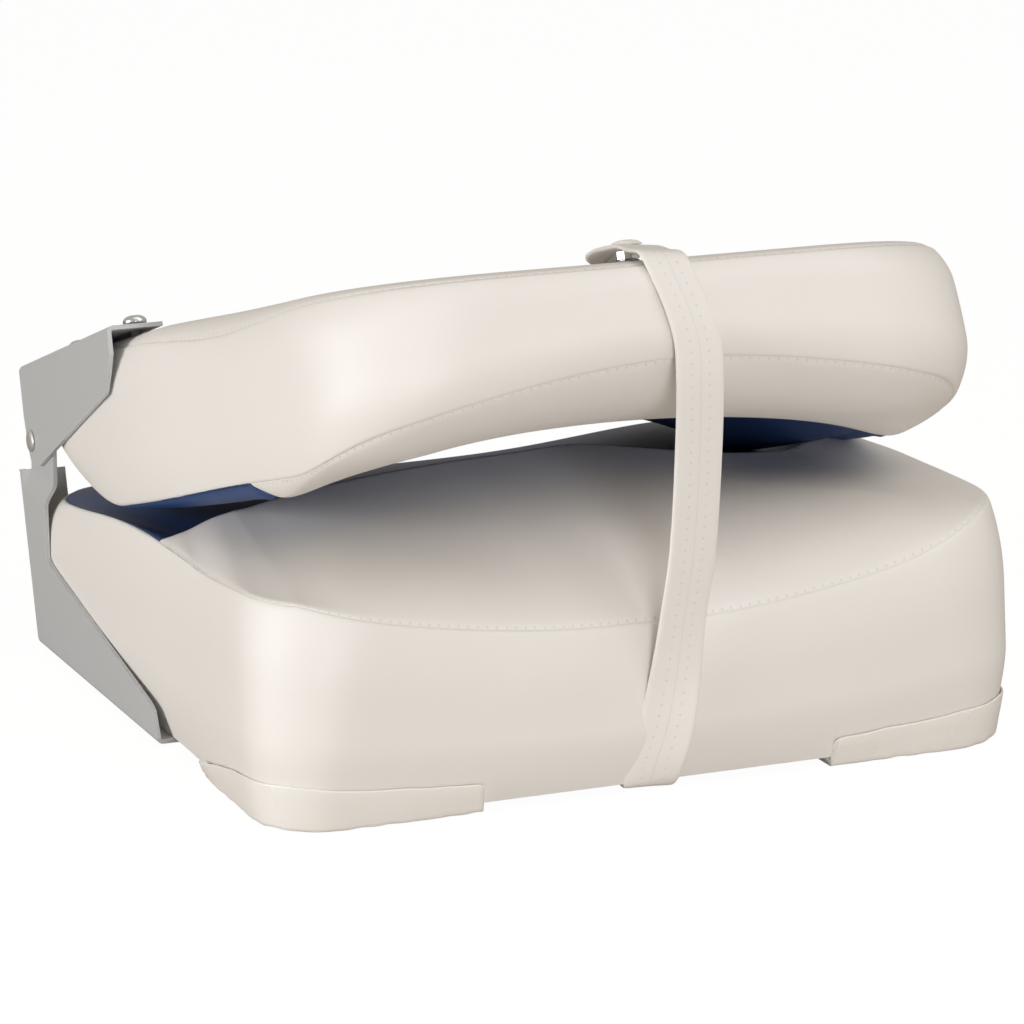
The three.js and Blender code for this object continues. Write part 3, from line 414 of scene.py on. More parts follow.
def seat_lift(sizes, x, y):
    """The cushion stands a little higher on the right, most beside its front half."""
    side = SEAT_RIGHT_LIFT * smooth(x, 0, sizes.half_width) * (1 - 0.4 * smooth(y, 0, sizes.rear))
    return side + SEAT_CORNER_LIFT * smooth(x, *SEAT_CORNER_ACROSS) * (1 - smooth(y, *SEAT_CORNER_BACK))


def seat_seam(sizes, x, y):
    """Height of the top seam.

    Level at the front corners, it dips at the front's middle and falls to the rear. It is lifted on the
    right, and drops along the front half of the left side.
    """
    toward_front = np.clip((-y / sizes.front - 0.45) / 0.55, 0, 1) ** 1.5
    middle = np.clip(1 - (x / (0.9 * sizes.half_width)) ** 2, 0, 1)
    rear = smooth(y, -0.12 * sizes.rear, 0.98 * sizes.rear)
    dip = (SEAT_REAR_DIP * rear + SEAT_FRONT_DIP * toward_front) * middle
    fall = SEAT_SIDE_FALL * smooth(y, -0.3 * sizes.rear, 0) + SEAT_REAR_FALL * rear
    along_left = smooth(y, *SEAT_LEFT_START) * (1 - smooth(y, *SEAT_LEFT_END))
    drop = SEAT_LEFT_DROP * smooth(-x, *SEAT_LEFT_ACROSS) * along_left
    return sizes.seam_height - fall - dip - drop + seat_lift(sizes, x, y)


def seat_pan(sizes, x, y):
    """Height of the blue pan: low in the middle, with raised sides, falling to the rear, more on the left."""
    side = smooth(np.abs(x), 0.3 * SEAT_RIDGE, SEAT_RIDGE)
    behind = np.clip(y / sizes.rear, 0, 1)
    middle = sizes.crest - PAN_BELOW_CREST - PAN_REAR_FALL * behind**1.5
    raised = sizes.crest - PAN_SIDE_BELOW_CREST - PAN_SIDE_REAR_FALL * behind**0.7
    left = PAN_LEFT_FALL * smooth(-x, PAN_LEFT_FROM, SEAT_RIDGE) * smooth(y, *PAN_LEFT_BACK)
    return mix(middle, raised, side) - left


def seat_pillow(sizes, x, y):
    """Height of the front pillow.

    It has a crowned, lumpy crest at the border and falls forward, more in the middle than at the sides, with
    a shallow valley beside the strap. Towards the front the lumps give way to the lift on the right.
    """
    side = smooth(np.abs(x), 0.3 * SEAT_RIDGE, SEAT_RIDGE)
    ahead = np.clip(-y / sizes.front, 0, 1) ** 1.2
    lumps = sum(high * bell(x, at, spread) for high, at, spread in PILLOW_LUMPS)
    uneven = mix(lumps, seat_lift(sizes, x, y), smooth(-y, *PILLOW_LUMPS_END))
    deep, at, spread = PILLOW_VALLEY
    valley = deep * bell(x, at, spread) * smooth(-y, 0.55 * sizes.front, 0.95 * sizes.front)
    crest = sizes.crest - PILLOW_CROWN * (x / SEAT_RIDGE) ** 2 + uneven
    return crest - mix(PILLOW_MIDDLE_FALL, PILLOW_SIDE_FALL, side) * ahead - valley


def front_valley(x, y, v):
    """Depth of the shallow hollow that runs down the front's middle, beside the strap."""
    deep, at, spread = FRONT_VALLEY
    return deep * bell(x, at, spread) * smooth(v, 0.25, 1.0) * (y < 0)


def seat_top(sizes, ahead):
    """A top panel as columns from the seam to the border: ahead is the white pillow, else the blue pan."""
    x, y = (line[0] for line in seat_outline(sizes, 1.0, PINCH))
    seam = seat_seam(sizes, x, y)
    border = -sizes.border
    corner = SEAT_FRONT_RADIUS + SEAT_SEAM_RADIUS_GAIN
    order, gx, gy, edge, run = panel_grid(x, y + front_valley(x, y, 1.0), border, not ahead, corner)
    from_border = np.abs(gy - border)
    crease = seat_pan(sizes, gx, border) + seat_lift(sizes, gx, border) - CREASE_DEPTH
    if ahead:
        face = mix(crease, seat_pillow(sizes, gx, gy), rounded_end(from_border, PILLOW_END_REACH))
    else:
        pan = seat_pan(sizes, gx, gy) + seat_lift(sizes, gx, gy)
        face = mix(crease, pan, 1 - np.exp(-from_border / PAN_END_REACH))
    gz = crowned(seam[order], face, edge, SEAT_CROWN_REACH)
    return np.stack([gx, gy, gz], axis=-1), np.stack([np.broadcast_to(run, gx.shape), edge], axis=-1)


HEM_ROWS = 5
HEM_FOLD = 0.4 * mm


class BOATSEAT_OT_seat_cushion(Operator):
    """Builds the seat cushion's band, front pillow and rear pan."""

    bl_idname = "boatseat.seat_cushion"
    bl_label = "Seat cushion"

    def execute(self, context):
        sizes, tones = context.scene.boat_seat_cushion, context.scene.boat_seat_finishes
        white = vinyl("marine_vinyl_white", tones.white_vinyl)
        blue = vinyl("marine_vinyl_blue", tones.blue_vinyl)
        rise = eased(90)
        v = np.concatenate([np.zeros(HEM_ROWS), rise])
        fold = np.concatenate([np.linspace(sizes.hem, HEM_FOLD, HEM_ROWS), 0 * rise])
        pinch = PINCH * np.exp((v[:, None] - 1) * PINCH_RATE)
        x, y = seat_outline(sizes, v, fold[:, None] + pinch)
        top = seat_seam(sizes, x, y)
        y = y + front_valley(x, y, v[:, None])
        z = mix(sizes.underside, top, v[:, None]) - pinch
        uv = np.stack([np.broadcast_to(running_length(x[-1], y[-1]), x.shape), z - top], axis=-1)
        band = surface("seat_side_band", np.stack([x, y, z], axis=-1), wrap_columns=True, uv=uv)
        thicken(band, sizes.cover)
        finish_with(band, white, "white_vinyl", "seat", "seat_cover_boxing")
        panels = {
            "seat_front_pillow": (True, white, "white_vinyl", ("seat_cover_front", "seat_foam")),
            "seat_rear_pan": (False, blue, "blue_vinyl", ("seat_cover_rear",)),
        }
        for name, (ahead, material, slot, nodes) in panels.items():
            points, uv = seat_top(sizes, ahead)
            panel = thicken(surface(name, points, uv=uv, weld=True), sizes.cover)
            finish_with(panel, material, slot, "seat", *nodes)
        return {"FINISHED"}


# Backrest cushion surface, in the backrest's own plane

# A pair is where a change starts and ends, counted back from the far end for the far turn, but the rear
# seam's deepest place is its middle and spread.
FOLDED_SLOPE = math.radians(15.7)
HINGE_Y = 182.5 * mm
HINGE_Z = 115 * mm
BACK_HINGE_RADIUS = 26 * mm
BACK_FAR_RADIUS = 55 * mm
BACK_FAR_RADIUS_GAIN = 20 * mm
BACK_TUCK = 7 * mm
BACK_RIDGE = 155 * mm
BACK_CROWN_REACH = 22 * mm
BACK_HINGE_CROWN_REACH = 9 * mm
BACK_CROWN_CHANGE = (230 * mm, 380 * mm)
BACK_REAR_DROP = 9.6 * mm
BACK_REAR_DROP_RUN = 170 * mm
REAR_SEAM_HINGE = 10 * mm
REAR_SEAM_FAR = 3 * mm
REAR_SEAM_RUN = 400 * mm
REAR_SEAM_NEAR_RISE = 4 * mm
REAR_SEAM_NEAR_END = (100 * mm, 170 * mm)
REAR_SEAM_SIDE_DEPTH = 6.5 * mm
REAR_SEAM_SIDE_AT = (255 * mm, 66 * mm)
SEAM_AT_HINGE = 46 * mm
SEAM_SIDE_DEPTH = 90.5 * mm
SEAM_SIDE_START = (-25 * mm, 120 * mm)
SEAM_SIDE_RISE = 3 * mm
SEAM_SIDE_RISE_RUN = (150 * mm, 280 * mm)
SEAM_FAR_MIDDLE = 50 * mm
SEAM_FAR_GAIN = 38 * mm
SEAM_FAR_TURN = (90 * mm, 18 * mm)
LUMBAR_HOLLOW = 68 * mm
LUMBAR_BOLSTER = 96.3 * mm
LUMBAR_START = 64 * mm
LUMBAR_START_END = 118 * mm
ROLL_DEPTH = 74.5 * mm
ROLL_SAG = 16 * mm
ROLL_SIDE_SAG = 6 * mm
ROLL_CREASE = 6.5 * mm
ROLL_END_REACH = 16 * mm
LUMBAR_END_REACH = 7 * mm


def back_to_world(sizes, x, u, w):
    """From the backrest's plane to the seat's frame, with the backrest folded shut."""
    deep = sizes.depth - w
    y = HINGE_Y - u * math.cos(FOLDED_SLOPE) + deep * math.sin(FOLDED_SLOPE)
    z = HINGE_Z + u * math.sin(FOLDED_SLOPE) + deep * math.cos(FOLDED_SLOPE)
    return np.stack(np.broadcast_arrays(x, y, z), axis=-1)


def back_rear(u):
    """The rear face drops towards the hinge."""
    return BACK_REAR_DROP * np.clip(1 - u / BACK_REAR_DROP_RUN, 0, None)


def back_rear_seam(u):
    """The rear seam lies below the rear face, deepest on the sides just before the far corners."""
    depth = mix(REAR_SEAM_HINGE, REAR_SEAM_FAR, np.clip(u / REAR_SEAM_RUN, 0, 1))
    rise = REAR_SEAM_NEAR_RISE * (1 - smooth(u, *REAR_SEAM_NEAR_END))
    return back_rear(u) + depth - rise + REAR_SEAM_SIDE_DEPTH * bell(u, *REAR_SEAM_SIDE_AT)


def back_taper(share):
    """The backrest keeps its width between the brackets, then narrows towards the far end."""
    return share**2 * smooth(share, 0.15, 0.7)


def back_outline(sizes, v, inset=0.0):
    """Plan outline of the backrest's band at share v from the rear seam to the sitting seam."""
    v = np.atleast_1d(v)[:, None]
    top = np.clip((v - 0.62) / 0.38, 0, 1) ** 2
    foot = np.clip(1 - v / 0.26, 0, 1) ** 2
    tuck = BACK_TUCK * top + 0.65 * BACK_TUCK * foot + inset
    far = BACK_FAR_RADIUS + BACK_FAR_RADIUS_GAIN * (1 - v) ** 2 - inset
    return rounded_outline(
        sizes.start + tuck, sizes.end - tuck, sizes.half_width - tuck, sizes.far_half_width - tuck,
        BACK_HINGE_RADIUS - inset + 0 * v, far, back_taper, 5
    )


def back_seam(sizes, x, u):
    """Depth of the sitting seam: shallow at the hinge, deep on the sides, shallow at the far end's middle."""
    side = mix(SEAM_AT_HINGE, SEAM_SIDE_DEPTH, smooth(u, *SEAM_SIDE_START))
    side = side - SEAM_SIDE_RISE * smooth(u, *SEAM_SIDE_RISE_RUN)
    end = SEAM_FAR_MIDDLE + SEAM_FAR_GAIN * (np.abs(x) / sizes.half_width) ** 1.7
    return mix(side, np.minimum(end, side), smooth(u, *(sizes.end - away for away in SEAM_FAR_TURN)))


def back_face(sizes, x, u, roll):
    """Depth of the sitting face: a lumbar hollow between two bolsters, or the roll at the far end."""
    a = np.abs(x) / BACK_RIDGE
    lumbar = mix(LUMBAR_HOLLOW, LUMBAR_BOLSTER, smooth(a, 0.62, 1.12))
    a = np.minimum(a, 1.08)
    far = ROLL_DEPTH + ROLL_SAG * a**2 + ROLL_SIDE_SAG * a**6
    begun = smooth(u, sizes.start, LUMBAR_START_END)
    return mix(np.minimum(LUMBAR_START, lumbar), mix(lumbar, far, roll), begun)


def back_top(sizes, roll):
    """A sitting panel as columns from the seam to the border: the white roll or the blue lumbar panel."""
    x, u = (line[0] for line in back_outline(sizes, 1.0, PINCH))
    border = sizes.border
    corner, least = (BACK_FAR_RADIUS, 0.25) if roll else (BACK_HINGE_RADIUS, 0)
    order, gx, gu, edge, run = panel_grid(x, u, border, roll, corner, least)
    seam_u = np.array([border, *u[order][1:-1], border])
    face = back_face(sizes, gx, gu, smooth(gu, border - BACK_CROWN_REACH, border + BACK_CROWN_REACH))
    end = rounded_end(np.abs(gu - border), ROLL_END_REACH if roll else LUMBAR_END_REACH)
    reach = mix(BACK_HINGE_CROWN_REACH, BACK_CROWN_REACH, smooth(gu, *BACK_CROWN_CHANGE))
    w = crowned(back_seam(sizes, x[order], seam_u), face - ROLL_CREASE * (1 - end), edge, reach)
    return back_to_world(sizes, gx, gu, w), np.stack([np.broadcast_to(run, gx.shape), edge], axis=-1)


class BOATSEAT_OT_back_cushion(Operator):
    """Builds the backrest cushion's band, rear panel, lumbar panel and roll."""

    bl_idname = "boatseat.back_cushion"
    bl_label = "Backrest cushion"

    def execute(self, context):
        sizes, tones = context.scene.boat_back_cushion, context.scene.boat_seat_finishes
        cover = context.scene.boat_seat_cushion.cover
        white = vinyl("marine_vinyl_white", tones.white_vinyl)
        blue = vinyl("marine_vinyl_blue", tones.blue_vinyl)
        v = eased(90)[:, None]
        below = PINCH * np.exp((v - 1) * PINCH_RATE)
        above = PINCH * np.exp(-v * PINCH_RATE)
        x, u = back_outline(sizes, v[:, 0], below + above)
        rear, front = back_rear_seam(u), back_seam(sizes, x, u)
        w = mix(rear, front, v) - below + above
        run = np.broadcast_to(running_length(x[-1], u[-1]), x.shape)
        uv = np.stack([run, np.where(v > 0.5, w - front, rear - w)], axis=-1)
        band = surface("back_side_band", back_to_world(sizes, x, u, w), wrap_columns=True, uv=uv)
        thicken(band, cover)
        finish_with(band, white, "white_vinyl", "backrest", "back_cover_boxing")
        # The rear panel's rings shrink from its seam to the middle of the board.
        k = 1 - eased(80)[:, None] ** 0.8
        px, pu = (line[0] for line in back_outline(sizes, 0.0, PINCH))
        middle = (sizes.start + sizes.end) / 2
        gx, gu = px * k, mix(middle, pu, k)
        edge = (1 - k) * np.hypot(px, pu - middle)
        w = mix(back_rear_seam(pu), back_rear(gu), 1 - np.exp(-edge / BACK_HINGE_CROWN_REACH))
        rings = back_to_world(sizes, gx, gu, w + PINCH * np.exp(-edge / PINCH_REACH))
        uv = np.stack([np.broadcast_to(running_length(px, pu), gx.shape), edge], axis=-1)
        panel = surface("back_rear_panel_cover", rings[::-1], wrap_columns=True, uv=uv[::-1], weld=True)
        thicken(panel, cover)
        finish_with(panel, white, "white_vinyl", "backrest", "back_rear_panel", "back_rear_pad")
        panels = {
            "back_roll": (True, white, "white_vinyl", ("back_cover_roll",)),
            "back_lumbar_panel": (False, blue, "blue_vinyl", ("back_cover_lumbar", "back_foam")),
        }
        for name, (roll, material, slot, nodes) in panels.items():
            points, uv = back_top(sizes, roll)
            panel = thicken(surface(name, points, uv=uv, weld=True), cover)
            finish_with(panel, material, slot, "backrest", *nodes)
        return {"FINISHED"}


# Strap

STRAP_X = -3 * mm
STRAP_DRIFT = 9 * mm
STRAP_CLEAR = 1.5 * mm
ANCHOR_SETBACK = 30 * mm
FOLD_SETBACK = 6 * mm
EDGE_SETBACK = -0.3 * mm
UNDER_SETBACKS = (ANCHOR_SETBACK, FOLD_SETBACK, EDGE_SETBACK)
FRONT_TUCK = 7 * mm
SNAP_AT = 358 * mm
TAIL_AT = 330 * mm
STRAP_LEVEL = 6.7 * mm
END_SEAM = 50 * mm
GROOVE_DEPTH = 0.75 * mm
GROOVE_SPREAD = 0.55 * mm
FOLD_SWELL = (0.18 * mm, 2.4 * mm, 2 * mm)
FOLD_SQUARENESS = 14
FLARE_TURN = 0.34
FLARE_GAIN = 0.18
FLARE_FADE = (-95 * mm, -8 * mm)
FLARE_FRONT = 9 * mm
COUNTER_FLARE = 0.3
COUNTER_FLARE_RISE = (215 * mm, 255 * mm)

# Stations along the strap, each as three shares: across, of the drift; out from the cushion, of the strap's
# clearance or level; and on, of the seat's seam height, of the backrest's end seam, or of the way from the
# far end to the snap and from the snap to the tail.
RISE_SHARES = [
    (-0.36, -2.9, 0.05),
    (-0.2, -0.9, 0.14),
    (0.3, 0.8, 0.3),
    (0.75, 1.3, 0.5),
    (1.15, 2.87, 0.81),
    (1.45, 5.53, 1.1),
    (1.45, 9.5, 1.585),
]
END_SHARES = [
    (1.25, -2.8, 1.2),
    (1.1, 0.3, 0.84),
    (0.7, 1, 0.54),
    (0.2, 0, 0.24),
    (-0.15, -3.2, -0.01),
]
TAIL_SHARES = [
    (-0.15, 0.53, 0.42),
    (-0.2, 0.97, 0.68),
    (-0.2, 1, 0.85),
    (-0.2, 1, 1.4),
    (-0.2, 0.82, 1.7),
    (-0.25, 0.32, 2.1),
]


def strap_stations(seat, back):
    """Points along the strap: from its screw under the seat, up past both cushions, to its free end."""
    hem = FRONT_TUCK - seat.front
    under = seat.underside - STRAP_CLEAR
    points = [(-0.36, hem + setback, under) for setback in UNDER_SETBACKS]
    points += [(x, -seat.front - out * STRAP_CLEAR, high * seat.seam_height) for x, out, high in RISE_SHARES]
    for x, out, deep in END_SHARES:
        points.append((x, *back_to_world(back, 0, back.end + out * STRAP_CLEAR, deep * END_SEAM)[1:]))
    for x, level, along in TAIL_SHARES:
        u = mix(back.end, SNAP_AT, along) if along < 1 else mix(SNAP_AT, TAIL_AT, along - 1)
        points.append((x, *back_to_world(back, 0, u, -level * STRAP_LEVEL)[1:]))
    points = np.array(points)
    points[:, 0] = STRAP_X + points[:, 0] * STRAP_DRIFT
    return points


def curve_through(points, steps):
    """A centripetal Catmull-Rom curve: knots spaced by the square root of each step's length."""
    ends = [2 * points[0] - points[1], *points, 2 * points[-1] - points[-2]]
    line = []
    for a, b, c, d in zip(ends, ends[1:], ends[2:], ends[3:]):
        knots = np.cumsum([0, *(np.linalg.norm(q - p) ** 0.5 for p, q in ((a, b), (b, c), (c, d)))])
        t = np.linspace(knots[1], knots[2], steps, endpoint=False)[:, None]
        ab = (a * (knots[1] - t) + b * (t - knots[0])) / (knots[1] - knots[0])
        bc = (b * (knots[2] - t) + c * (t - knots[1])) / (knots[2] - knots[1])
        cd = (c * (knots[3] - t) + d * (t - knots[2])) / (knots[3] - knots[2])
        abc = (ab * (knots[2] - t) + bc * (t - knots[0])) / (knots[2] - knots[0])
        bcd = (bc * (knots[3] - t) + cd * (t - knots[1])) / (knots[3] - knots[1])
        line.append((abc * (knots[2] - t) + bcd * (t - knots[1])) / (knots[2] - knots[1]))
    line.append(points[-1:])
    return np.concatenate(line)


def ribbon(name, line, width, thickness, flare, ends):
    """A folded strap along a line: its section is a flat oval with a groove along the outer middle.

    Across and out, the outer face is level, drops at both edges and has the groove where the folds meet.
    The flare widens and turns the section for each point of the line; ends says which ends are closed.
    """
    run = np.gradient(line, axis=0)
    out = np.stack([0 * run[:, 0], run[:, 2], -run[:, 1]], axis=-1)
    out /= np.linalg.norm(out, axis=1)[:, None]
    along = np.concatenate([[0], np.cumsum(np.linalg.norm(np.diff(line, axis=0), axis=1))])
    a = np.sin(np.linspace(-0.5, 0.5, 61) * np.pi) * width / 2
    edge = np.sqrt(np.clip(1 - (np.abs(a) / (width / 2)) ** FOLD_SQUARENESS, 0, 1))
    swell, at, spread = FOLD_SWELL
    groove = GROOVE_DEPTH * bell(a, 0, GROOVE_SPREAD)
    outer = thickness / 2 * edge - groove + swell * bell(np.abs(a), at, spread)
    inner = -thickness / 2 * edge
    across = np.concatenate([a, a[::-1]])
    lift = np.concatenate([outer, inner[::-1]])
    left = along[-1] - along if ends[1] else 1.0 + 0 * along
    shrink = np.sqrt(np.clip(1 - np.clip(1 - left / (width / 2), 0, 1) ** 2, 0.0004, 1))
    side = np.array([1.0, 0, 0]) - out * FLARE_TURN * flare[:, None]
    side *= ((1 + FLARE_GAIN * np.maximum(flare, 0)) * shrink / np.linalg.norm(side, axis=1))[:, None]
    points = line[:, None] + side[:, None] * across[:, None] + out[:, None] * lift[:, None]
    for closed, end in zip(ends, (0, -1)):
        if closed:
            cap = np.broadcast_to(points[end].mean(axis=0), points[end].shape)[None]
            points = np.concatenate([cap, points] if end == 0 else [points, cap])
            along = np.concatenate([along[:1], along] if end == 0 else [along, along[-1:]])
    uv = np.stack(np.broadcast_arrays(along[:, None], across[None, :]), axis=-1)
    return surface(name, points, wrap_columns=True, uv=uv, weld=True)


class BOATSEAT_OT_strap(Operator):
    """Builds the strap: its screwed end, its run, and its free end over the backrest."""

    bl_idname = "boatseat.strap"
    bl_label = "Strap"

    def execute(self, context):
        seat, back = context.scene.boat_seat_cushion, context.scene.boat_back_cushion
        sizes, tones = context.scene.boat_seat_strap, context.scene.boat_seat_finishes
        material = vinyl("strap_vinyl_white", tones.white_vinyl, sizes.stitch_row, sizes.stitch_pitch)
        steps = 24
        line = curve_through(strap_stations(seat, back), steps)
        up = steps * (2 + len(RISE_SHARES) // 2 + 1)
        over = steps * (2 + len(RISE_SHARES) + len(END_SHARES))
        ahead = smooth(-line[:, 1], seat.front - FLARE_FRONT, seat.front)
        flare = smooth(-line[:, 2], *FLARE_FADE) * ahead
        flare = flare - COUNTER_FLARE * smooth(line[:, 2], *COUNTER_FLARE_RISE)
        # Each piece: its part of the line, which ends are closed, the CAD nodes it stands for, two bodies, a
        # place on the line, and offsets before and after it.
        pieces = {
            "strap_lower": (
                slice(None, up + 1), (True, False), ("strap_anchor_end", "strap_run"), ("seat", "strap_run"),
                2 * steps, (0, 8, 0), (0, -8, 12),
            ),
            "strap_upper": (
                slice(up, None), (False, True), ("strap_free_end",), ("strap_run", "strap_end"),
                over, (0, -12, -14), (0, 6, 2),
            ),
        }
        for name, (part, ends, nodes, bodies, at, before, after) in pieces.items():
            piece = ribbon(name, line[part], sizes.width, sizes.thickness, flare[part], ends)
            finish_with(piece, material, "white_vinyl", None, *nodes)
            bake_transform(piece)
        return {"FINISHED"}


# Fasteners, guards and brackets


def back_axis(extra):
    """The outward direction of the backrest's rear face, turned by an extra angle."""
    angle = FOLDED_SLOPE + extra
    return (0, math.sin(angle), math.cos(angle))


SHEET = 2.3 * mm
BEND = 3.5 * mm
EDGE_AXIS = 10 * mm
FLANGE_DEPTH = 7 * mm
FLANGE_LIFT = 9 / 165
UPPER_LENGTH = 165 * mm
UPPER_DEPTH = 62.5 * mm
UPPER_FLANGE = 30 * mm
LOWER_FLANGE = 26 * mm
LOWER_FLOOR = 2.2 * mm
LOWER_WAIST = 60 * mm
LOWER_SHOULDER = 93.1 * mm
LOWER_TOP = 128 * mm
LOWER_FRONT_EASE = 3.5 * mm
LOWER_REAR_EASE = 0.8 * mm
UPPER_EASE = 0.02
TONGUE_OFFSET = 2.6 * mm
TONGUE_RISE = (83 * mm, 98 * mm)
TONGUE_REAR = (-204 * mm, -193.5 * mm)
BRACKET_X = 206 * mm
# The upper plate's lower edge as shares of its length and depth, the lower plate's as height and y in mm.
UPPER_EDGE_SHARES = [
    (0, 0.4), (0.001, 0.6), (0.026, 0.96), (0.115, 1.0), (0.909, 0.512), (0.975, 0.3), (1, 0.18),
]
LOWER_FRONT_EDGE = [(2.2, -22.5), (20, -13.5), (53, 160.9), (84, 162.6), (97, 153), (117, 153), (128, 164)]
LOWER_REAR_EDGE = [(2.2, 182), (93.1, 209), (96.8, 192.5), (117, 192.5), (128, 181.5)]

SCREW_X = 186 * mm
SCREWS_AT = {"front": 140 * mm, "rear": 42 * mm}
HEAD_RADIUS = 6.1 * mm
HEAD_HEIGHT = 4.8 * mm
HEAD_RIM = 1.2 * mm
HEAD_EASE = 0.2 * mm
CROSS_DEPTH = 1.8 * mm
SHANK_RADIUS = 2.4 * mm
SCREW_LENGTH = 29 * mm
POINT_LENGTH = 2 * mm
SEAT_GAP = 0.3 * mm
RIVET_HEAD = 6 * mm
RIVET_DOME = 1.5 * mm
RIVET_RADIUS = 3 * mm
RIVET_FOOT = 5 * mm
RIVET_FOOT_HEIGHT = 1.6 * mm
RIVET_LENGTH = 9 * mm


def dome(radius, height, foot, steps=14):
    """Profile of a low dome on a foot, from its rim to its middle: a circle with a flatter top."""
    angle = np.linspace(0, np.pi / 2, steps)
    return [(radius * math.cos(a), foot + height * math.sin(a) ** 0.8) for a in angle]


class BOATSEAT_OT_fasteners(Operator):
    """Builds the bracket screws and the pivot rivets, and finishes the snap's cap."""

    bl_idname = "boatseat.fasteners"
    bl_label = "Fasteners"

    def execute(self, context):
        back, tones = context.scene.boat_back_cushion, context.scene.boat_seat_finishes
        zinc = plated("zinc_plate", tones.zinc)
        dull = plated("zinc_plate_dull", tones.zinc, 0.25)
        frame["nodes"]["snap_cap"].data.materials[0] = painted("enamel_white", tones.guard)
        axis = back_axis(math.atan(FLANGE_LIFT))
        screw_profile = [
            (0, -SCREW_LENGTH), (SHANK_RADIUS * 0.7, -SCREW_LENGTH),
            (SHANK_RADIUS, POINT_LENGTH - SCREW_LENGTH), (SHANK_RADIUS, SEAT_GAP),
            (HEAD_RADIUS - HEAD_EASE, SEAT_GAP), (HEAD_RADIUS, SEAT_GAP + HEAD_EASE),
            *dome(HEAD_RADIUS, HEAD_HEIGHT - HEAD_RIM, HEAD_RIM, 30),
        ]
        foot = -RIVET_LENGTH - SEAT_GAP
        rivet_profile = [
            (0, foot), (RIVET_FOOT, foot), (RIVET_FOOT, foot + RIVET_FOOT_HEIGHT),
            (RIVET_RADIUS, foot + RIVET_FOOT_HEIGHT), (RIVET_RADIUS, 0), (RIVET_HEAD, 0),
            *dome(RIVET_HEAD, RIVET_DOME, SEAT_GAP),
        ]
        for side, sign in (("left", -1), ("right", 1)):
            for end, u in SCREWS_AT.items():
                level = FLANGE_DEPTH - (u + EDGE_AXIS) * FLANGE_LIFT - SHEET / 2
                place = back_to_world(back, sign * SCREW_X, u, level)
                screw = round_profile(f"pan_head_{side}_{end}", screw_profile, place, axis, CROSS_DEPTH)
                finish_with(screw, zinc, "zinc", "backrest", f"upper_bracket_screw_{side}_{end}")
            place = (sign * (BRACKET_X + SEAT_GAP), HINGE_Y, HINGE_Z)
            rivet = round_profile(f"pivot_rivet_{side}_turned", rivet_profile, place, (sign, 0, 0))
            finish_with(rivet, dull, "zinc", "seat", f"pivot_rivet_{side}")
        return {"FINISHED"}


def eased_line(at, knots, radius):
    """Straight lines between knots, with the corners rounded off over a radius."""
    steps = np.linspace(-1, 1, 15)
    weight = (1 - steps**2) / (1 - steps**2).sum()
    knots = np.array(knots)
    return (np.interp(at[:, None] + steps * radius, *knots.T) * weight).sum(axis=1)


def bend_arc(steps=9):
    """Distance in from the outer face and from the flange's outer side, round a bend from plate to flange."""
    angle = np.linspace(0, np.pi / 2, steps)
    radius = BEND - SHEET / 2
    return BEND - radius * np.cos(angle), BEND - radius * np.sin(angle)


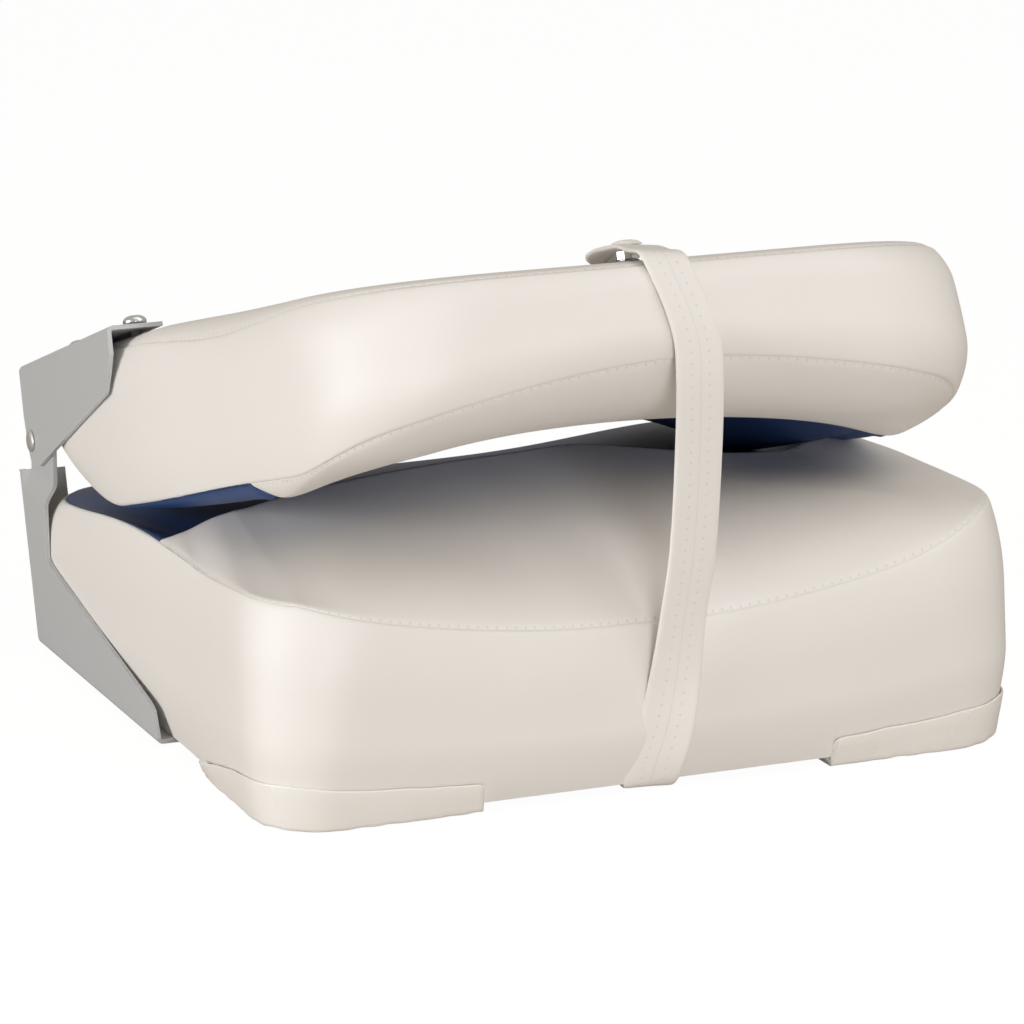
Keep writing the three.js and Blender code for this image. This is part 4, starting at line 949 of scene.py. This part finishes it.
class BOATSEAT_OT_brackets(Operator):
    """Builds the pressed steel brackets: plate, rolled bends, flanges and the lower pair's offset tongue."""

    bl_idname = "boatseat.brackets"
    bl_label = "Brackets"

    def execute(self, context):
        back = context.scene.boat_back_cushion
        paint = painted("powder_coat_grey", context.scene.boat_seat_finishes.paint)
        # Upper bracket, in the backrest's plane: plate, bend and flange as one grid.
        arc_in, arc_deep = bend_arc()
        share = np.linspace(0, 1, 111)
        low = back.depth - eased_line(share, UPPER_EDGE_SHARES, UPPER_EASE) * UPPER_DEPTH
        u = share * UPPER_LENGTH - EDGE_AXIS
        top = back.depth - FLANGE_DEPTH + share * UPPER_LENGTH * FLANGE_LIFT
        plate = mix(low[:, None], (top - BEND)[:, None], np.linspace(0, 1, 24)[None, :-1])
        turned = top[:, None] - arc_deep
        flat = np.broadcast_to(top[:, None] - SHEET / 2, (len(share), 12))
        level = np.concatenate([plate, turned, flat], axis=1)
        inset = np.concatenate(
            [np.full(plate.shape[1], SHEET / 2), arc_in, np.linspace(BEND, UPPER_FLANGE, 13)[1:]]
        )
        upper = back_to_world(back, BRACKET_X - inset, u[:, None], back.depth - level)
        # Lower bracket: the plate with its tongue, the foot under the shell and the wing behind the cushion.
        z_low = np.linspace(LOWER_FLOOR + BEND, LOWER_WAIST, 90)
        z = np.concatenate([z_low, np.linspace(LOWER_WAIST, LOWER_TOP, 120)[1:]])
        front = eased_line(z, np.array(LOWER_FRONT_EDGE) * mm, LOWER_FRONT_EASE)
        rear = eased_line(z, np.array(LOWER_REAR_EDGE) * mm, LOWER_REAR_EASE)
        bent = z < LOWER_SHOULDER
        across = np.linspace(0, 1, 70)
        y = mix(front[:, None], (rear - BEND * bent)[:, None], across)
        aside = TONGUE_OFFSET * smooth(z, *TONGUE_RISE)[:, None] * smooth(-y, *TONGUE_REAR)
        main = np.stack([BRACKET_X - SHEET / 2 - aside, y, np.broadcast_to(z[:, None], y.shape)], axis=-1)
        floor_in = np.concatenate([np.linspace(LOWER_FLANGE, BEND, 12)[:-1], arc_in[::-1]])
        floor_z = LOWER_FLOOR + np.concatenate([np.full(11, SHEET / 2), arc_deep[::-1]])
        foot = np.stack(
            np.broadcast_arrays((BRACKET_X - floor_in)[:, None], y[:1], floor_z[:, None]), axis=-1
        )
        edge_in = np.concatenate([arc_in, np.linspace(BEND, LOWER_FLANGE, 12)[1:]])
        edge_y = np.concatenate([arc_deep, np.full(11, SHEET / 2)])
        wing = np.stack(
            np.broadcast_arrays(BRACKET_X - edge_in, rear[bent, None] - edge_y, z[bent, None]), axis=-1
        )
        for side, sign in (("left", -1), ("right", 1)):
            turn = np.array([sign, 1, 1])
            upper_piece = sheet_metal(f"upper_plate_{side}", [upper * turn], SHEET)
            finish_with(upper_piece, paint, "bracket_paint", "backrest", f"upper_bracket_{side}")
            lower_piece = sheet_metal(f"lower_plate_{side}", [main * turn, foot * turn, wing * turn], SHEET)
            finish_with(lower_piece, paint, "bracket_paint", "seat", f"lower_bracket_{side}")
        return {"FINISHED"}


# Share of the way round the corner and height in mm; then the section: out from the band in mm, share of the
# height and height added in mm, round the outside, the lip and the sheet that turns in under the shell.
GUARD_HEIGHTS = [(0, 15.5), (0.25, 19), (0.5, 24), (0.72, 21), (1, 9.5)]
GUARD_PROFILE = [
    (0.35, 1, 0), (0.45, 1, 0.25), (0.9, 1, 0.3), (1.3, 1, 0.1), (1.5, 0.97, 0), (1.6, 0.7, 0), (1.7, 0.4, 0),
    (1.9, 0, 3), (1.9, 0, 1.6), (1.5, 0, 0.6), (0.6, 0, 0.15), (-2, 0, 0.1), (-12, 0, 0.1), (-24, 0, 0.1),
    (-24.4, 0, 0.8), (-24, 0, 1.6), (-12, 0, 1.7), (-2, 0, 1.7), (-0.2, 0, 2.4), (0.3, 0, 4), (0.35, 0.5, 0),
]
GUARD_FRONT = 94 * mm
GUARD_SIDE = 75 * mm
GUARD_MEAN_HEIGHT = 20
GUARD_MIDDLE_ROW = 5
GUARD_FOOT_LEVEL = 4
GUARD_BULGE = 0.5 * mm


class BOATSEAT_OT_corner_guards(Operator):
    """Builds the thin plastic guards round the seat's two front corners.

    A section follows the band's outline. Its top edge waves, its foot frays, and its face bulges a little,
    each as a sum or product of sines along the corner.
    """

    bl_idname = "boatseat.corner_guards"
    bl_label = "Corner guards"

    def execute(self, context):
        sizes = context.scene.boat_seat_cushion
        material = milky("polyethylene_milky", context.scene.boat_seat_finishes.guard)
        out, share, extra = (column[:, None] for column in np.array(GUARD_PROFILE).T)
        level = np.clip((share * GUARD_MEAN_HEIGHT + extra) * mm / sizes.seam_height, 0, 1)[:, 0]
        x, y = seat_outline(sizes, level, -out * mm)
        middle = GUARD_MIDDLE_ROW
        keep = np.flatnonzero((x[middle] > GUARD_FRONT) & (y[middle] < -GUARD_SIDE))
        x, y = x[:, keep], y[:, keep]
        run = running_length(x[middle], y[middle])
        run = run / run[-1]
        tall = np.interp(run, *np.array(GUARD_HEIGHTS).T)
        tall = tall * np.sqrt(1 - np.clip(1 - run / 0.02, 0, 1) ** 2 * 0.12)
        for side, sign in (("left", -1), ("right", 1)):
            phase = 2.1 + sign
            wave = 0.2 * np.sin(31 * run + phase) + 0.12 * np.sin(57 * run + 2 * phase)
            foot = 0.3 * (1 + np.sin(23 * run + phase)) * np.sin(41 * run + phase) ** 2
            z = (share * (tall + wave) + extra + (1 - share) * (extra < GUARD_FOOT_LEVEL) * foot) * mm
            bulge = GUARD_BULGE * np.sin(19 * run + 3 * phase) * (out > 1) * (1 - share) / np.hypot(x, y)
            points = np.stack([sign * x * (1 + bulge), y * (1 + bulge), z], axis=-1)
            points = np.concatenate([points, points[:1]])[::sign]
            ends = [np.broadcast_to(points[:, k].mean(axis=0), points[:, :1].shape) for k in (0, -1)]
            points = np.concatenate([ends[0], points, ends[1]], axis=1)
            guard = surface(f"guard_{side}", points, weld=True)
            finish_with(guard, material, "guard_plastic", "seat", f"corner_guard_{side}")
        return {"FINISHED"}


class BOATSEAT_OT_carried_over(Operator):
    """Gives the carried-over metal, plastic and wood pieces their finishes."""

    bl_idname = "boatseat.carried_over"
    bl_label = "Carried-over pieces"

    def execute(self, context):
        colours = context.scene.boat_seat_finishes
        by_slot = {
            "bracket_paint": painted("powder_coat_grey", colours.paint),
            "zinc": plated("zinc_plate", colours.zinc),
            "guard_plastic": milky("polyethylene_milky", colours.guard),
            "shell_plastic": moulded("polypropylene_black", colours.shell),
            "brass": plated("brass_turned", linear(0xB79A55)),
            "plywood": plywood("birch_plywood"),
            "foam": foam("open_cell_foam", linear(0xE9E2C4)),
            "white_vinyl": vinyl("marine_vinyl_white", colours.white_vinyl),
            "blue_vinyl": vinyl("marine_vinyl_blue", colours.blue_vinyl),
        }
        for part in frame["record"]["subparts"]:
            node = frame["nodes"][part["node"]]
            node.data.materials.clear()
            node.data.materials.append(by_slot[part["material_slot"]])
        return {"FINISHED"}


# Materials

# Sizes of the patterns, and how far stitch holes and the gutter of a seam reach, sink in and darken; the
# darkening is painted shade.
LEATHER_GRAIN = 1.1 * mm
BLOTCH_TONE = 0.955
HOLE_RADII = (0.2 * mm, 0.75 * mm)
HOLE_ROW = 0.7 * mm
HOLE_DEPTH_SHARE = 0.62
GUTTER_EDGES = (0.05 * mm, 0.5 * mm)
GUTTER_DEPTH_SHARE = 0.35
HOLE_SHADE_STRENGTH = 0.26
HOLE_SHADE_TONE = 0.3
ORANGE_PEEL = 1.6 * mm
PLATE_CLOUD = 2.5 * mm
SPARK_GRIT = 0.7 * mm
FOAM_PORE = 1.2 * mm


def add_node(tree, kind, inputs=None, **settings):
    """Adds a node, sets it, and fills its inputs with values or links."""
    node = tree.nodes.new(kind)
    for name, value in settings.items():
        setattr(node, name, value)
    for key, value in (inputs or {}).items():
        if isinstance(value, bpy.types.NodeSocket):
            tree.links.new(value, node.inputs[key])
        else:
            node.inputs[key].default_value = value
    return node


def new_material(name):
    """A material and its empty node tree."""
    material = bpy.data.materials.new(name)
    material.use_nodes = True
    material.node_tree.nodes.clear()
    return material, material.node_tree


def once(build):
    """Makes a material when its name is first asked for, and finds it after that.

    The function that it wraps gets the node tree and the object's own coordinates, and gives the shader.
    """

    def find(name, *values):
        if name in bpy.data.materials:
            return bpy.data.materials[name]
        material, tree = new_material(name)
        place = add_node(tree, "ShaderNodeTexCoord").outputs["Object"]
        shader = build(tree, place, *values)
        add_node(tree, "ShaderNodeOutputMaterial", {"Surface": shader.outputs[0]})
        return material

    return find


def darker(tone, share):
    """A colour at a share of its brightness."""
    return (*(part * share for part in tone[:3]), 1.0)


@once
def vinyl(tree, place, tone, stitch_row=None, pitch=5 * mm):
    """Marine vinyl: PVC calendered on knit and pressed with a fine leather grain; a soft, broad sheen.

    The seam map gives the length along the seam and the distance from it: stitch holes repeat along a row.
    The holes and the seam's gutter are darkened with painted shade.
    """
    cells = {"Vector": place, "Scale": 1 / LEATHER_GRAIN}
    grain = add_node(tree, "ShaderNodeTexVoronoi", cells, feature="DISTANCE_TO_EDGE")
    blotch = {"Vector": place, "Scale": 9.0, "Detail": 3.0}
    cloud = add_node(tree, "ShaderNodeTexNoise", blotch).outputs["Fac"]
    seam = add_node(tree, "ShaderNodeUVMap", uv_map="seam")
    split = add_node(tree, "ShaderNodeSeparateXYZ", {"Vector": seam.outputs["UV"]}).outputs
    beat = add_node(tree, "ShaderNodeMath", {0: split["X"], 1: pitch}, operation="MODULO")
    off = add_node(tree, "ShaderNodeMath", {0: beat.outputs[0], 1: pitch / 2}, operation="SUBTRACT")
    line = add_node(tree, "ShaderNodeMath", {0: split["Y"]}, operation="ABSOLUTE").outputs[0]
    row = split["Y"] if stitch_row is None else line
    aside = add_node(tree, "ShaderNodeMath", {0: row, 1: stitch_row or HOLE_ROW}, operation="SUBTRACT")
    reach = add_node(tree, "ShaderNodeCombineXYZ", {"X": off.outputs[0], "Y": aside.outputs[0]})
    far = add_node(tree, "ShaderNodeVectorMath", {0: reach.outputs[0]}, operation="LENGTH").outputs["Value"]
    fades = ((far, HOLE_RADII, HOLE_DEPTH_SHARE), (line, GUTTER_EDGES, GUTTER_DEPTH_SHARE))
    deep = []
    for away, (near, end), share in fades:
        fade = {"Value": away, "From Min": near, "From Max": end, "To Min": share, "To Max": 0.0}
        deep.append(add_node(tree, "ShaderNodeMapRange", fade, interpolation_type="SMOOTHSTEP").outputs[0])
    sunk_depth = add_node(tree, "ShaderNodeMath", {0: deep[0], 1: deep[1]}, operation="MAXIMUM")
    # Painted shade: the colour darkens in the stitch holes and the seam's gutter, as shade in recesses.
    painted_hole_shade = add_node(tree, "ShaderNodeMath", {0: sunk_depth.outputs[0], 1: HOLE_SHADE_STRENGTH}, operation="MULTIPLY")
    blotched = {"Factor": cloud, "A": tone, "B": darker(tone, BLOTCH_TONE)}
    tint = add_node(tree, "ShaderNodeMix", blotched, data_type="RGBA").outputs["Result"]
    hole_shaded = {"Factor": painted_hole_shade.outputs[0], "A": tint, "B": darker(tone, HOLE_SHADE_TONE)}
    shade = add_node(tree, "ShaderNodeMix", hole_shaded, data_type="RGBA")
    rough = add_node(tree, "ShaderNodeMapRange", {"Value": cloud, "To Min": 0.46, "To Max": 0.56})
    fine = add_node(
        tree, "ShaderNodeBump", {"Height": grain.outputs["Distance"], "Strength": 0.08, "Distance": 0.12 * mm}
    )
    pressed = add_node(
        tree, "ShaderNodeBump",
        {"Height": sunk_depth.outputs[0], "Strength": 0.6, "Distance": 0.5 * mm, "Normal": fine.outputs[0]},
        invert=True,
    )
    return add_node(
        tree, "ShaderNodeBsdfPrincipled",
        {"Base Color": shade.outputs["Result"], "Roughness": rough.outputs[0], "IOR": 1.5,
         "Normal": pressed.outputs[0]},
    )


@once
def painted(tree, place, tone):
    """Powder coat on steel: a satin film with a faint orange peel."""
    peel = add_node(tree, "ShaderNodeTexNoise", {"Vector": place, "Scale": 1 / ORANGE_PEEL, "Detail": 1.0})
    bump = add_node(
        tree, "ShaderNodeBump", {"Height": peel.outputs["Fac"], "Strength": 0.12, "Distance": 0.15 * mm}
    )
    cloud = add_node(tree, "ShaderNodeTexNoise", {"Vector": place, "Scale": 14.0}).outputs["Fac"]
    rough = add_node(tree, "ShaderNodeMapRange", {"Value": cloud, "To Min": 0.36, "To Max": 0.46})
    return add_node(
        tree, "ShaderNodeBsdfPrincipled",
        {"Base Color": tone, "Roughness": rough.outputs[0], "Normal": bump.outputs[0], "IOR": 1.5},
    )


@once
def plated(tree, place, tone, dull=0.0):
    """Zinc-plated steel: bright metal with a cloudy film, which is duller on pressed rivets."""
    film = {"Vector": place, "Scale": 1 / PLATE_CLOUD, "Detail": 4.0}
    cloud = add_node(tree, "ShaderNodeTexNoise", film).outputs["Fac"]
    gloss = {"Value": cloud, "To Min": 0.16 + dull, "To Max": 0.34 + dull}
    rough = add_node(tree, "ShaderNodeMapRange", gloss)
    return add_node(
        tree, "ShaderNodeBsdfPrincipled", {"Base Color": tone, "Metallic": 1.0, "Roughness": rough.outputs[0]}
    )


@once
def milky(tree, place, tone):
    """Thin polyethylene: milky, lets some light through."""
    haze = {"Vector": place, "Scale": 40.0, "Detail": 2.0}
    cloud = add_node(tree, "ShaderNodeTexNoise", haze).outputs["Fac"]
    rough = add_node(tree, "ShaderNodeMapRange", {"Value": cloud, "To Min": 0.3, "To Max": 0.45})
    return add_node(
        tree, "ShaderNodeBsdfPrincipled",
        {"Base Color": tone, "Roughness": rough.outputs[0], "IOR": 1.5, "Transmission Weight": 0.15},
    )


@once
def moulded(tree, place, tone):
    """Moulded polypropylene: a fine spark-eroded texture that dulls the gloss."""
    grit = add_node(tree, "ShaderNodeTexNoise", {"Vector": place, "Scale": 1 / SPARK_GRIT}).outputs["Fac"]
    bump = add_node(tree, "ShaderNodeBump", {"Height": grit, "Strength": 0.2, "Distance": 0.1 * mm})
    return add_node(
        tree, "ShaderNodeBsdfPrincipled",
        {"Base Color": tone, "Roughness": 0.55, "IOR": 1.49, "Normal": bump.outputs[0]},
    )


@once
def foam(tree, place, tone):
    """Open-cell polyurethane foam: cream and matt, with pores of about a millimetre."""
    pores = add_node(tree, "ShaderNodeTexVoronoi", {"Vector": place, "Scale": 1 / FOAM_PORE}).outputs
    bump = add_node(
        tree, "ShaderNodeBump", {"Height": pores["Distance"], "Strength": 0.4, "Distance": 0.4 * mm}
    )
    return add_node(
        tree, "ShaderNodeBsdfPrincipled", {"Base Color": tone, "Roughness": 0.9, "Normal": bump.outputs[0]}
    )


@once
def plywood(tree, place):
    """Birch plywood: pale wood with long grain."""
    stretched = add_node(tree, "ShaderNodeMapping", {"Vector": place, "Scale": (60.0, 4.0, 60.0)}).outputs[0]
    grain = add_node(tree, "ShaderNodeTexNoise", {"Vector": stretched, "Scale": 3.0, "Detail": 5.0})
    tone = add_node(
        tree, "ShaderNodeMix",
        {"Factor": grain.outputs["Fac"], "A": linear(0xCBA877), "B": linear(0xA47E4C)}, data_type="RGBA",
    )
    return add_node(
        tree, "ShaderNodeBsdfPrincipled", {"Base Color": tone.outputs["Result"], "Roughness": 0.7}
    )


# Stage

CAMERA_AZIMUTH = math.radians(-23)
CAMERA_HEIGHT = math.radians(14.5)
CAMERA_AWAY = 2.4
CAMERA_LENS = 162
CAMERA_AIM = (-2.89 * mm, -1.65 * mm, 98.68 * mm)
# Azimuth and height in degrees, distance and size in metres, and power in watts.
LAMPS = {
    "key": (40, 38, 2.2, 1.5, 11),
    "left": (-85, 6, 2.2, 1.0, 32),
    "front": (-8, 3, 2.2, 0.7, 20.5),
    "top": (20, 78, 2.0, 1.6, 8),
}
LAMP_COLOUR = (0.97, 0.985, 1.0)
FLOOR_REACH = 6.0
FLOOR_LEVEL = -0.2 * mm


def direction(azimuth, height):
    """From the object towards a place seen at an azimuth and a height."""
    return Vector(
        (math.sin(azimuth) * math.cos(height), -math.cos(azimuth) * math.cos(height), math.sin(height))
    )


def area_light(name, azimuth, height, away, size, power):
    """A square lamp that looks at the object."""
    lamp = bpy.data.objects.new(name, bpy.data.lights.new(name, "AREA"))
    lamp.data.size = size
    lamp.data.energy = power
    lamp.data.color = LAMP_COLOUR
    towards = direction(math.radians(azimuth), math.radians(height))
    lamp.location = Vector(CAMERA_AIM) + towards * away
    lamp.rotation_euler = towards.to_track_quat("Z", "Y").to_euler()
    bpy.context.scene.collection.objects.link(lamp)


class BOATSEAT_OT_stage(Operator):
    """Sets the camera, the lamps, the world and a pale floor."""

    bl_idname = "boatseat.stage"
    bl_label = "Stage"

    def execute(self, context):
        scene = context.scene
        scene.view_settings.view_transform = "Standard"
        camera = bpy.data.objects.new("camera", bpy.data.cameras.new("camera"))
        scene.collection.objects.link(camera)
        camera.data.lens = CAMERA_LENS
        camera.data.sensor_width = 36
        towards = direction(CAMERA_AZIMUTH, CAMERA_HEIGHT)
        camera.location = Vector(CAMERA_AIM) + towards * CAMERA_AWAY
        camera.rotation_euler = towards.to_track_quat("Z", "Y").to_euler()
        scene.camera = camera
        for name, values in LAMPS.items():
            area_light(name, *values)
        world = bpy.data.worlds.new("room")
        scene.world = world
        world.use_nodes = True
        tree = world.node_tree
        tree.nodes.clear()
        seen = add_node(tree, "ShaderNodeLightPath").outputs
        clear = add_node(
            tree, "ShaderNodeMath", {0: seen["Is Camera Ray"], 1: seen["Is Transmission Ray"]},
            operation="MAXIMUM",
        )
        shiny = add_node(tree, "ShaderNodeMath", {0: seen["Is Glossy Ray"], 1: 0.4}, operation="MULTIPLY")
        share = add_node(
            tree, "ShaderNodeMath", {0: clear.outputs[0], 1: shiny.outputs[0]}, operation="MAXIMUM"
        ).outputs[0]
        room = add_node(tree, "ShaderNodeBackground", {"Color": (1, 0.84, 0.66, 1), "Strength": 0.28})
        sky = add_node(tree, "ShaderNodeBackground", {"Color": (1, 1, 1, 1), "Strength": 1.0})
        both = add_node(tree, "ShaderNodeMixShader", {0: share, 1: room.outputs[0], 2: sky.outputs[0]})
        add_node(tree, "ShaderNodeOutputWorld", {"Surface": both.outputs[0]})
        x, y = np.meshgrid(*[np.linspace(-FLOOR_REACH, FLOOR_REACH, 13)] * 2)
        floor = surface("floor", np.stack([x, y, 0 * x + FLOOR_LEVEL], axis=-1))
        material, tree = new_material("studio_paper")
        paper = add_node(tree, "ShaderNodeBsdfDiffuse", {"Color": (0.5, 0.46, 0.41, 1)})
        glow = add_node(tree, "ShaderNodeEmission", {"Color": (1, 1, 1, 1), "Strength": 1.08})
        seen = add_node(tree, "ShaderNodeLightPath").outputs["Is Camera Ray"]
        share = add_node(tree, "ShaderNodeMath", {0: seen, 1: 0.9}, operation="MULTIPLY").outputs[0]
        both = add_node(tree, "ShaderNodeMixShader", {0: share, 1: paper.outputs[0], 2: glow.outputs[0]})
        add_node(tree, "ShaderNodeOutputMaterial", {"Surface": both.outputs[0]})
        floor.data.materials.append(material)
        return {"FINISHED"}


class BOATSEAT_PT_panel(Panel):
    """Lists the steps in the 3D view's sidebar."""

    bl_label = "Folding boat seat"
    bl_space_type = "VIEW_3D"
    bl_region_type = "UI"
    bl_category = "Boat seat"

    def draw(self, context):
        for step in STEPS:
            self.layout.operator(step.bl_idname)


STEPS = [
    BOATSEAT_OT_stage,
    BOATSEAT_OT_carried_over,
    BOATSEAT_OT_seat_cushion,
    BOATSEAT_OT_back_cushion,
    BOATSEAT_OT_strap,
    BOATSEAT_OT_corner_guards,
    BOATSEAT_OT_brackets,
    BOATSEAT_OT_fasteners,
]
GROUPS = {
    "boat_seat_cushion": SeatCushionSizes,
    "boat_back_cushion": BackCushionSizes,
    "boat_seat_strap": StrapSizes,
    "boat_seat_finishes": Finishes,
}


def register():
    """Adds the sizes, the steps and the panel."""
    for group in GROUPS.values():
        bpy.utils.register_class(group)
    for name, group in GROUPS.items():
        setattr(bpy.types.Scene, name, PointerProperty(type=group))
    for step in STEPS:
        bpy.utils.register_class(step)
    bpy.utils.register_class(BOATSEAT_PT_panel)


def unregister():
    """Takes them out again."""
    bpy.utils.unregister_class(BOATSEAT_PT_panel)
    for step in reversed(STEPS):
        bpy.utils.unregister_class(step)
    for name in GROUPS:
        delattr(bpy.types.Scene, name)
    for group in reversed(GROUPS.values()):
        bpy.utils.unregister_class(group)


def main():
    """Builds the seat step by step."""
    register()
    for step in STEPS:
        area, name = step.bl_idname.split(".")
        getattr(getattr(bpy.ops, area), name)()
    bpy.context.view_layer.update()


if __name__ == "__main__":
    main()
